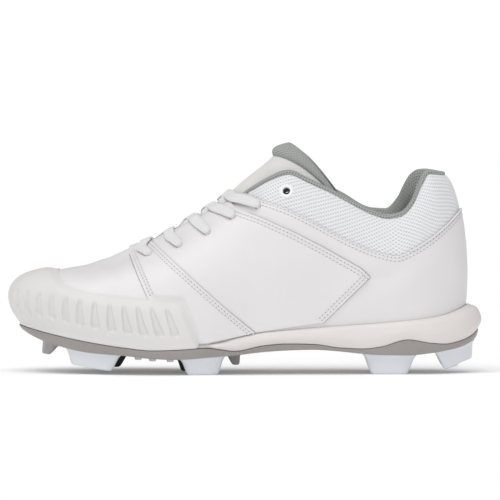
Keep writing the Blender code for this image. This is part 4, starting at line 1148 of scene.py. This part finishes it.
across = np.linspace(2, -2, TONGUE_COLUMNS)[None, :]
share = np.linspace(BODY_TOP, TONGUE_END, BODY_ROWS)[:, None]
share = share - TOP_SLANT * np.clip(np.abs(across), 0, 1) * ease(SLANT_OVER, BODY_TOP, share)
face, way, thick = tongue_faces(share, across)
rings = np.concatenate([face, (face + way * thick)[:, ::-1]], axis=1)
under_vamp = [rings[-1] + np.array(shift) for shift in UNDER_VAMP]
tongue = folded_tube("tongue_body", np.concatenate([rings, under_vamp]))
finished(tongue, tongue_weave, "tongue_cloth", "tongue")

# %% Tongue roll and back
ROLL_TOP, ROLL_ACROSS, ROLL_BACK, BACK_LONG, ROLL_LIFT = 0.31, 1.7, 0.75, 0.42, 0.45
ROLL_THICK, ROLL_EDGE = 1.0, 0.3
FRONT_ROWS, TURN_ROWS, BACK_ROWS, BLEND = 22, 14, 40, 21
# The roll's reach along the tongue by place across, and its bulge on the way up
ROLL_REACH = table("part  reach", (0.0, 0.012), (0.25, 0.05), (0.5, 0.066), (0.75, 0.068), (1.0, 0.060))
ROLL_BULGE = table(
    "way  bulge", (0.0, -0.3), (0.06, 1.3), (0.16, 2.6), (0.32, 3.4), (0.5, 3.1), (0.7, 2.3), (1.0, 1.4))

across = np.linspace(ROLL_ACROSS, -ROLL_ACROSS, TONGUE_COLUMNS)
part = np.clip(1 - np.abs(across), 0, 1)
edge = ROLL_TOP - TOP_SLANT * (1 - part)
fullness = (0.35 + 0.65 * np.sqrt(part))[:, None]
rows = []
for t in np.linspace(0, 1, FRONT_ROWS):
    face, way, thick = tongue_faces(edge + smooth(ROLL_REACH, "reach", part) * (1 - t), across)
    bulge = smooth(ROLL_BULGE, "bulge", t) * fullness
    rows.append(face - way * bulge)
upward = unit(face - tongue_faces(edge + 0.01, across)[0])
radius = (thick + bulge + ROLL_BACK) / 2
centre = face + way * (thick + ROLL_BACK - radius)
for t in np.linspace(0, 1, TURN_ROWS)[1:]:
    swing = way * math.cos(math.pi * t) - upward * ROLL_LIFT * math.sin(math.pi * t)
    rows.append(centre - swing * radius)
for t in np.linspace(0, 1, BACK_ROWS)[1:]:
    face, way, thick = tongue_faces(edge + BACK_LONG * t, across)
    rows.append(face + way * (thick + ROLL_BACK))
# Each row is softened across by a weighted mean of its neighbours
window = np.hanning(BLEND)[1:-1] / np.hanning(BLEND).sum()
beyond = len(window) // 2
rows = np.pad(np.array(rows), ((0, 0), (beyond, beyond), (0, 0)), mode="reflect", reflect_type="odd")
rows = np.apply_along_axis(np.convolve, 1, rows, window, mode="valid")
roll = sheet_through("tongue_roll_and_back", rows)
thicken(roll, ROLL_THICK, ROLL_EDGE)
finished(roll, roll_weave, "lining_cloth", "tongue")

# %% [markdown]
# ## Lace
#
# A flat braided lace comes up out of each hole, turns over the edge of the throat, crosses the
# tongue and goes down under the far edge. It is held all the way, so each run is a soft oblong swept
# along a few stops on the shoe. A curve with a bevel could do this, but it twists where the path
# turns into a hole. Here each stop says which way the flat face looks. The outer runs lie on top
# where two cross, as in the photograph.

# %% Bands and their stops
LACE_WIDTH, LACE_THICK, LACE_ON_TONGUE, LACE_AT_EDGE = 6.8, 1.7, 1.3, 0.75
BAND_RINGS, BAND_ROUND = 56, 24
LACE_EDGE_LEVEL = 0.99


def band(name, stops):
    """A soft flat band. Each stop has its point, the way its flat face looks, width and thickness."""
    path = curve_through([s[0] for s in stops], BAND_RINGS)
    ways = curve_through([s[1] for s in stops], BAND_RINGS)
    place = np.linspace(0, len(stops) - 1, BAND_RINGS)
    wide = np.interp(place, range(len(stops)), [s[2] for s in stops])
    thick = np.interp(place, range(len(stops)), [s[3] for s in stops])
    run = unit(np.gradient(path, axis=0))
    ways = unit(ways - run * np.sum(run * ways, axis=1, keepdims=True))
    across = np.cross(run, ways)
    angle = angles_round(BAND_ROUND)
    flat, high = (np.sign(f) * np.abs(f) ** 0.75 for f in (np.cos(angle), np.sin(angle)))
    rings = path[:, None] + across[:, None] * (flat * wide[:, None] / 2)[..., None]
    rings = rings + ways[:, None] * (high * thick[:, None] / 2)[..., None]
    return capped_tube(name, rings, path[0], path[-1])


def share_at(rows, along):
    """The share at which a table that runs towards the toe passes a place along the shoe."""
    return np.interp(-along, -rows["along"], rows["share"])


def lace_on_wall(u, v, out):
    """A stop at a distance out of the wall."""
    u, v = np.array([u]), np.array([v])
    return wall(u, v, np.array([out]))[0], wall_normal(u, v)[0], LACE_WIDTH, LACE_THICK


def lace_on_tongue(along, side, part, lift, thick=LACE_ON_TONGUE):
    """A stop on the tongue, lifted off it where the lace lies on another run."""
    u = u_of([share_at(TONGUE, along)], side)
    point, way = tongue_point(u, np.array([part]))
    return point[0] - way[0] * (lift + thick / 2), -way[0], LACE_WIDTH, thick


def lace_start(row, side):
    """Stops from inside the hole up to the edge of the throat."""
    hole, middle = LACE_HOLES["along"][row - 1], LACE_HOLES["middle"][row - 1]
    (u,), (v,) = hole_at(row, side)
    edge_u = float(u_of(share_at(TOP_LINE, hole + (middle - hole) * LACE_AT_EDGE), side))
    edge_v = LACE_EDGE_LEVEL
    start, edge = (bare_wall(np.array([a]), np.array([b]))[0] for a, b in ((u, v), (edge_u, edge_v)))
    run = unit(edge - start)
    length = np.linalg.norm(edge - start)
    rest = (OVERLAY_OUT if row == 1 else PANEL_OUT) + LACE_THICK / 2

    def toward(step, out):
        """A stop some millimetres from the hole towards the edge, at a distance out of the wall."""
        return lace_on_wall(u + (edge_u - u) * step / length, v + (edge_v - v) * step / length, out)

    deep, rim = toward(0.4, -5.0), toward(-0.7, 1.0)
    stops = [(deep[0], -run, 3.0, 1.8), (rim[0], unit(0.3 * rim[1] - run), 3.6, 2.4)]
    bend = toward(0.9, rest + 0.6)
    stops.append((bend[0], unit(bend[1] - 0.35 * run), 5.4, 2.2))
    stops.append(toward(length * 0.55, rest + 0.1))
    stops.append(lace_on_wall(edge_u, edge_v, 0.7 + LACE_THICK / 2))
    return stops


def lace_run(row, side, lift):
    """A run from a hole to the middle and down to the far edge of the throat."""
    middle, far = LACE_HOLES["middle"][row - 1], LACE_HOLES["along"][row - 2]
    stops = lace_start(row, side)
    stops.append(lace_on_tongue(middle + 1.0, side, 0.72, 0.1 + 0.4 * lift))
    stops.append(lace_on_tongue(middle, side, 1.0, 0.05 + lift))
    stops.append(lace_on_tongue(middle - 2.0, -side, 0.6, 0.05 + 0.5 * lift))
    stops.append(lace_on_tongue((middle + far) / 2 - 2.0, -side, 0.05, 0.1, 1.2))
    return stops


print("lace is", LACE_WIDTH, "by", LACE_THICK, "mm")

# %% Bar and crossing runs
OVER_OTHER = 1.25
bar = lace_start(1, -1)
bar.append(lace_on_tongue(LACE_HOLES["middle"][0], -1, 1.0, -0.2))
bar += lace_start(1, 1)[::-1]
finished(band("lace_bar", bar), lace_weave, "lace_cloth", "lace_bar_1")
for row in (2, 3, 4, 5):
    for side, lift in ((1, 0.0), (-1, OVER_OTHER)):
        run = band(f"lace_run_{row}_{side_name[side]}", lace_run(row, side, lift))
        finished(run, lace_weave, "lace_cloth", f"lace_cross_{row}")

# %% [markdown]
# ## Eyelets
#
# The top lace hole is empty and shows its plastic ring. The ring is a round profile spun about the
# hole, with a short barrel pressed into the mesh. The hole goes on through mesh and lining, so it is
# dark for real. The Spin operator could turn the profile. Rings of points give the same ring, and
# they go through the same function as the other closed shapes.

# %% Eyelet rings
EYELET_SINK, EYELET_ROUND, EYELET_STEPS = -0.1, 40, 41
# Radius and height of the profile, from the barrel over the rim and back under it
EYELET_PROFILE = [
    (2.15, -1.6), (2.15, -0.6), (2.25, 0.15), (2.6, 0.55), (3.2, 0.7), (3.8, 0.5), (4.2, 0.05),
    (4.3, -0.5), (3.4, -0.7), (2.6, -0.9), (2.45, -1.6), (2.15, -1.6),
]
angle = angles_round(EYELET_ROUND)
for side in (-1, 1):
    u, v = hole_at(6, side)
    origin, normal = wall(u, v, np.array([EYELET_SINK]))[0], wall_normal(u, v)[0]
    turn = Vector(normal).to_track_quat("Z", "Y").to_matrix()
    rings = []
    for radius, height in curve_through(EYELET_PROFILE, EYELET_STEPS):
        across = np.stack([radius * np.cos(angle), radius * np.sin(angle)], -1)
        ring = np.column_stack([across, np.full(EYELET_ROUND, height)])
        rings.append(ring @ np.array(turn).T + origin)
    eyelet = tube_through(f"eyelet_ring_{side_name[side]}", rings)
    finished(eyelet, ring_plastic, "eyelet_plastic", f"eyelet_{side_name[side]}")

# %% [markdown]
# ## Midsole, outsole and insole
#
# The midsole is a moulded foam wedge with a belly and a lip that grips the upper. The outsole is a
# harder plate under it, with toe spring and arch. An insole lies on the bed. All three are rings
# round the feather edge, joined into a skin, and each end is closed along the middle line of the
# shoe. A block cut by Bisect and Bevel could not follow the outline of the last so closely.

# %% Midsole
SOLE_COLUMNS, SIDE_ROWS, PLATE_ROWS = 360, 25, 16
# The wedge runs out between two places along the shoe. In front of them it hides inside the upper
WEDGE_FADE = (-25.0, -15.5)


def closed_on_spine(name, rings):
    """A solid through rings round the shoe, closed below and above along its middle line."""
    mirror = -np.arange(len(rings[0])) % len(rings[0])
    first, last = ((ring + ring[mirror]) / 2 for ring in (rings[0], rings[-1]))
    return tube_through(name, np.concatenate([[first], rings, [last]]))


u = np.arange(SOLE_COLUMNS) / SOLE_COLUMNS
share = share_of(u)
rear = ease(*WEDGE_FADE, feather(u)[:, 0])


def wedge(out, hidden):
    """A distance out of the upper at the rear, that passes to a depth inside it in front."""
    return out * rear - hidden * (1 - rear)


foot = level_at(u, lambda x: smooth(SOLE, "bite", x))
edge = smooth(SOLE_SIDE, "edge", share) - 0.4
bottom = sole_ring(u, wedge(edge, 0.3), "joint", GAP)
lip = wall(u, foot, wedge(smooth(SOLE_SIDE, "lip", share), 0.3))
lip_inside = wall(u, foot, wedge(GAP + 0.05, 1.5))
bed = sole_ring(u, wedge(GAP + 0.05, 2.5), "bed")
for ring in (lip, lip_inside):
    ring[:, 2] = np.minimum(ring[:, 2], smooth(SOLE, "bite", ring[:, 0]))
belly = sole_ring(u, wedge(smooth(SOLE_SIDE, "belly", share), 0.3), "joint")
belly[:, 2] = bottom[:, 2] + 0.4 * (lip[:, 2] - bottom[:, 2])
shoulder = belly + (lip - belly) * np.array((0.35, 0.35, 0.75))
side_skin = curve_through([bottom, belly, shoulder, lip], SIDE_ROWS)
soft_lip = (lip + lip_inside) / 2 + np.array((0, 0, 0.35))
underside = sole_ring(u, edge * rear - 3.0, "joint", GAP)
rings = np.concatenate([[underside], side_skin, [soft_lip, lip_inside, bed]])
midsole = closed_on_spine("midsole_wedge", rings)
finished(midsole, foam_skin, "midsole_foam", "midsole")

# %% Outsole
edge = smooth(SOLE_SIDE, "edge", share)
top = sole_ring(u, edge, "joint")
under = sole_ring(u, edge - 1.0, "under")
middle = 0.6 * top + 0.4 * under
middle[:, :2] = sole_ring(u, edge - 0.1, "joint")[:, :2]
side_skin = curve_through([sole_ring(u, edge - 2.4, "under"), under, middle, top], PLATE_ROWS)
underside, deck = sole_ring(u, edge - 9.0, "under"), sole_ring(u, edge - 0.6, "joint")
rings = np.concatenate([[underside], side_skin, [deck]])
outsole = closed_on_spine("outsole_plate", rings)
finished(outsole, plate_plastic, "outsole_plate", "outsole", sharp=45)

# %% Insole
INSOLE_CLEAR = 0.6
# How far each ring draws in from the insole's side, and its height over the bed
INSOLE_RINGS = ((0.6, 0.0), (0.0, 1.2), (0.8, 4.0), (7.0, 3.0))
insole_side = -(WALL + INSOLE_CLEAR)
rings = [sole_ring(u, insole_side - draw, "bed", GAP + height) for draw, height in INSOLE_RINGS]
rings = curve_through(rings, PLATE_ROWS)
insole = closed_on_spine("insole_board", rings)
finished(insole, insole_weave, "lining_cloth", "insole")

# %% [markdown]
# ## Studs
#
# The studs are moulded with the plate: each tapers from a foot with a small fillet to a tip with
# round edges. Paired studs follow the edge of the sole, the small ones and the black blades stand
# along the middle. The small ones sit inboard in shadow, so they are painted grey as shade. Low
# nubs between them are the fine tread. One stud could be a cube with its lower end scaled down and
# bevelled. Rings from one table give every stud the same fillet and tip, and each its own outline.

# %% Shape of a stud
STUD_WIDTH, STUD_INSET, STUD_TAPER, STUD_FROM_MIDDLE, STUD_CORNER = 11.0, 4.0, 1.8, 2.5, 4.0
STUD_ROUND, STUD_SINK = 56, 0.5
# Share of the way down to the tip, and how far the ring there grows past the straight taper
STUD_RINGS = (
    (0, 1.4), (0.06, 1.25), (0.11, 0.8), (0.17, 0.4), (0.26, 0.1), (0.4, 0), (0.6, 0), (0.78, 0),
    (0.88, -0.08), (0.95, -0.35), (0.985, -0.75), (1.0, -1.3), (1.0, -3.0),
)
# Ends along the shoe at the foot and at the tip, then the height of the tip at its two ends. Studs
# along the middle also have the two sides of their foot
PAIRED_STUDS = {
    "fore": ((-106.0, -73.5), (-103.0, -78.6), (5.6, 2.4)),
    "ball": ((-37.9, -12.0), (-34.0, -15.4), (0.0, 0.0)),
    "heel_front": ((70.8, 102.0), (75.3, 97.1), (0.0, 0.0)),
    "heel_back": ((113.4, 136.6), (118.9, 136.2), (2.8, 8.4)),
}
MIDDLE_STUDS = {
    "toe": ((-121.0, -110.0), (-121.8, -116.6), (11.0, 10.4), (-0.7, 13.3)),
    "pivot": ((-11.3, -2.5), (-7.4, -3.0), (4.5, 4.5), (-8.7, 0.3)),
    "fore_blade": ((-96.0, -69.4), (-92.0, -74.7), (4.4, 3.0), (-4.7, 5.3)),
    "ball_blade": ((-41.0, -16.0), (-38.0, -20.0), (0.8, 0.8), (-8.7, 1.3)),
}


def edge_of_sole(x, side):
    """Where the outsole's edge lies across the shoe, on one side."""
    u = u_of(np.linspace(0, 1, 240), side)
    ring = sole_ring(u, smooth(SOLE_SIDE, "edge", share_of(u)), "joint")
    return np.interp(x, ring[::-1, 0], ring[::-1, 1])


def stud(name, base, tip, tip_height, across, soft=1.0):
    """A tapered stud with a fillet at its foot and a round edge at its tip, both scaled by soft."""
    angle = angles_round(STUD_ROUND)
    cos, sin = np.cos(angle), np.sin(angle)
    reach = (np.abs(cos) ** STUD_CORNER + np.abs(sin) ** STUD_CORNER) ** (-1 / STUD_CORNER)
    a, b = (cos * reach + 1) / 2, (sin * reach + 1) / 2
    ends = []
    for (front, rear), taper in ((base, 0.0), (tip, STUD_TAPER)):
        x = front + (rear - front) * a
        first, second = across(x, taper)
        ends.append(np.column_stack([x, first + (second - first) * b]))
    root = np.column_stack([ends[0], smooth(SOLE, "under", ends[0][:, 0]) + STUD_SINK])
    end = np.column_stack([ends[1], tip_height[0] + (tip_height[1] - tip_height[0]) * a])
    rings = []
    for down, grow in STUD_RINGS:
        ring = root + (end - root) * down
        middle = ring[:, :2].mean(0)
        away = ring[:, :2] - middle
        far = np.linalg.norm(away, axis=1, keepdims=True)
        ring[:, :2] = middle + away * np.maximum(far + grow * soft, 0.2) / far
        rings.append(ring)
    return capped_tube(name, rings, rings[0].mean(0), rings[-1].mean(0))


print("studs to make:", 2 * len(PAIRED_STUDS) + len(MIDDLE_STUDS))

# %% Studs in pairs and along the middle
for name, (base, tip, tip_height) in PAIRED_STUDS.items():
    for side in (-1, 1):

        def across(x, taper):
            outer = np.abs(edge_of_sole(x, side)) - STUD_INSET - taper
            inner = np.maximum(outer - STUD_WIDTH + 2 * taper, STUD_FROM_MIDDLE + taper)
            return side * outer, side * inner

        made = stud(f"moulded_stud_{name}_{side_name[side]}", base, tip, tip_height, across)
        finished(made, stud_plastic, "stud_plastic", f"stud_{name}_{side_name[side]}")
for name, (base, tip, tip_height, sides) in MIDDLE_STUDS.items():

    def across(x, taper):
        return np.full_like(x, sides[0] + taper), np.full_like(x, sides[1] - taper)

    made = stud(f"moulded_stud_{name}", base, tip, tip_height, across)
    dark = name.endswith("blade")
    # Blades are black plastic; the other middle studs take the grey stud plastic of painted shade
    skin, slot = (blade_plastic, "blade_plastic") if dark else (stud_plastic_painted_shade, "outsole_plate")
    finished(made, skin, slot, f"stud_{name}")

# %% Nubs of the fine tread
NUBS, NUB_HALF, NUB_HIGH = (-63.0, -54.5, -44.0), 2.6, 1.6
NUB_INSET, NUB_WIDTH, NUB_TAPER, NUB_SOFT = 2.2, 5.0, 0.8, 0.4
nubs = []
for side in (-1, 1):
    for along in NUBS:

        def across(x, taper):
            outer = np.abs(edge_of_sole(x, side)) - NUB_INSET - taper * 0.4
            return side * outer, side * (outer - NUB_WIDTH + taper * 0.8)

        ground = float(smooth(SOLE, "under", along)) - NUB_HIGH
        base = (along - NUB_HALF, along + NUB_HALF)
        tip = (along - NUB_HALF + NUB_TAPER, along + NUB_HALF - NUB_TAPER)
        nubs.append(stud("nub", base, tip, (ground, ground), across, NUB_SOFT))
tread = joined(nubs)
tread.name = "tread_nubs"
# The nubs take the grey stud plastic of painted shade too
finished(tread, stud_plastic_painted_shade, "outsole_plate")

# %% [markdown]
# ## Piping, stitches and needle holes
#
# A thin piping finishes the seam round the heel. Every seam is held by two rows of stitches, which
# sink into the leather at each needle hole. Each needle hole is a flat dark lens of painted shade,
# and thin grey cords along the seams paint the shade in the gap at each cut edge of leather. One
# stitch is a short soft rod with a few faces. Copies of it are set along lines on the wall, and all
# of them are one mesh, built straight from arrays.

# %% Small shapes set along a line
STITCH_LONG, STITCH_THICK, STITCH_FLAT = 1.8, 0.75, 0.75
# Size of the flat lens that paints the shade of each needle hole
NEEDLE_WIDE, NEEDLE_HIGH = 0.8, 0.06


def rod(length, thick, flat):
    """Corners and faces of a short rod with drawn-in ends."""
    corners = []
    for x, r in ((-0.5, 0.25), (-0.36, 0.85), (0.0, 1.0), (0.36, 0.85), (0.5, 0.25)):
        for angle in np.arange(6) * math.pi / 3:
            y, z = r * math.cos(angle) * thick / 2, r * math.sin(angle) * thick / 2 * flat
            corners.append((x * length, y, z))
    faces = []
    for first in range(0, 24, 6):
        for a in range(6):
            b = (a + 1) % 6
            faces.append((first + a, first + b, first + 6 + b, first + 6 + a))
    faces += [tuple(range(5, -1, -1)), tuple(range(24, 30))]
    return np.array(corners), faces


def dot(width, high):
    """Corners and faces of a small lens, for the painted shade of a needle hole."""
    angle = np.arange(6) * math.pi / 3
    ring = np.column_stack([np.cos(angle) * width / 2, np.sin(angle) * width / 2, np.zeros(6)])
    faces = [(a, (a + 1) % 6, 6) for a in range(6)] + [((a + 1) % 6, a, 7) for a in range(6)]
    return np.concatenate([ring, [(0, 0, high), (0, 0, -high)]]), faces


def along_wall(u, v, out, pitch, start=0.5):
    """Places at an even pitch along a line on the wall, with the ways along and out of it."""
    length = lengths(wall(u, v, out))
    at = np.arange(pitch * start, length[-1], pitch)

    def point(s):
        return wall(np.interp(s, length, u), np.interp(s, length, v), np.interp(s, length, out))

    middle = point(at)
    run = unit(point(at + 0.2) - point(at - 0.2))
    normal = wall_normal(np.interp(at, length, u), np.interp(at, length, v))
    return middle, run, unit(normal - run * np.sum(normal * run, axis=1, keepdims=True))


def many(name, corners, faces, places, material, slot):
    """One mesh of many copies of a small shape, each turned along its line."""
    middle, run, normal = (np.concatenate(part) for part in zip(*places))
    turn = np.stack([run, np.cross(normal, run), normal], -1)
    points = np.einsum("nij,kj->nki", turn, corners) + middle[:, None]
    shift = np.arange(len(middle)) * len(corners)
    whole = [tuple(i + s for i in face) for s in shift for face in faces]
    mesh = bpy.data.meshes.new(name)
    mesh.from_pydata([tuple(p) for p in points.reshape(-1, 3) * MM], [], whole)
    mesh.update()
    piece = bpy.data.objects.new(name, mesh)
    bpy.context.scene.collection.objects.link(piece)
    return finished(piece, material, slot)


def beside(line, shift):
    """A line in side view, moved to its left."""
    line = evenly(np.asarray(line, float), 80)
    run = unit(np.gradient(line, axis=0))
    return line + np.stack([-run[:, 1], run[:, 0]], -1) * shift


print("one stitch is", STITCH_LONG, "by", STITCH_THICK, "mm")

# %% Stitch rows
PITCH, STITCH_OUT, NEEDLE_OUT = 2.4, 0.05, 0.02
# Line in side view, how far beside it its two rows lie, and whether they go through the overlay
SEWN_LINES = (
    (PANEL_TOP, (-1.6, -3.7), False),
    (PANEL_REAR, (-1.6, -3.7), False),
    (OVERLAY_REAR, (-1.5, -3.3), True),
    (VAMP_SEAM, (1.8, 3.6), True),
)
COLLAR_ROWS_DOWN = (1.2, 3.2)
stitches, holes = [], []


def sew(u, v, out):
    """Sets stitches along a line on the wall, and lenses of painted shade for the needle holes between
    them.
    """
    stitches.append(along_wall(u, v, out + STITCH_OUT, PITCH))
    holes.append(along_wall(u, v, out + NEEDLE_OUT, PITCH, 0.0))


for side in (-1, 1):
    for line, shifts, overlay in SEWN_LINES:
        for shift in shifts:
            u, v = at_side(beside(line, shift), side)
            sew(u, v, panel_face(bare_wall(u, v), overlay))
collar_u = np.linspace(0.265, -0.265, 500)
seam = leather_top(collar_u)
for down in COLLAR_ROWS_DOWN:
    level = seam - down / climb_rate(collar_u, seam)
    sew(collar_u, level, leather_relief(bare_wall(collar_u, level)))
many("seam_stitches", *rod(STITCH_LONG, STITCH_THICK, STITCH_FLAT), stitches, thread, "upper_leather")
# The needle holes are not cut: each is a flat dark lens of painted shade
many("painted_needle_hole_shades", *dot(NEEDLE_WIDE, NEEDLE_HIGH), holes, needle_hole_shade, "upper_leather")

# %% Piping and seam lines of painted shade
PIPING_RADIUS, SEAM_SHADE_RADIUS, SEAM_SHADE_OUT, CORD_ROUND = 0.55, 0.3, 0.05, 8


def cord_on_wall(name, u, v, out, radius):
    """A thin round cord along a line on the wall."""
    points, normal = wall(u, v, out), wall_normal(u, v)
    rise = unit(np.cross(unit(np.gradient(points, axis=0)), normal))
    angle = angles_round(CORD_ROUND)[None, :, None]
    rings = points[:, None] + radius * (np.cos(angle) * rise[:, None] + np.sin(angle) * normal[:, None])
    return capped_tube(name, rings, points[0], points[-1])


collar_u = np.linspace(0.115, -0.115, 121)
piping = cord_on_wall("heel_piping", collar_u, leather_top(collar_u), 0 * collar_u, PIPING_RADIUS)
finished(piping, leather, "upper_leather")

# The grey cords along the seams are painted shade: the shadow in the gap at each cut edge of leather
for side in (-1, 1):
    lines = {"vamp": (VAMP_SEAM, -0.35), "front": (OVERLAY_REAR, 0.3)}
    lines |= {"top": (PANEL_TOP, 0.3), "rear": (PANEL_REAR, 0.3)}
    for name, (line, shift) in lines.items():
        u, v = at_side(beside(line, shift), side)
        place = bare_wall(u, v)
        out = panel_face(place) if name == "front" else leather_relief(place)
        edge = cord_on_wall(f"seam_shade_line_{name}_{side_name[side]}", u, v, out + SEAM_SHADE_OUT, SEAM_SHADE_RADIUS)
        finished(edge, seam_gap_shade, "upper_leather")
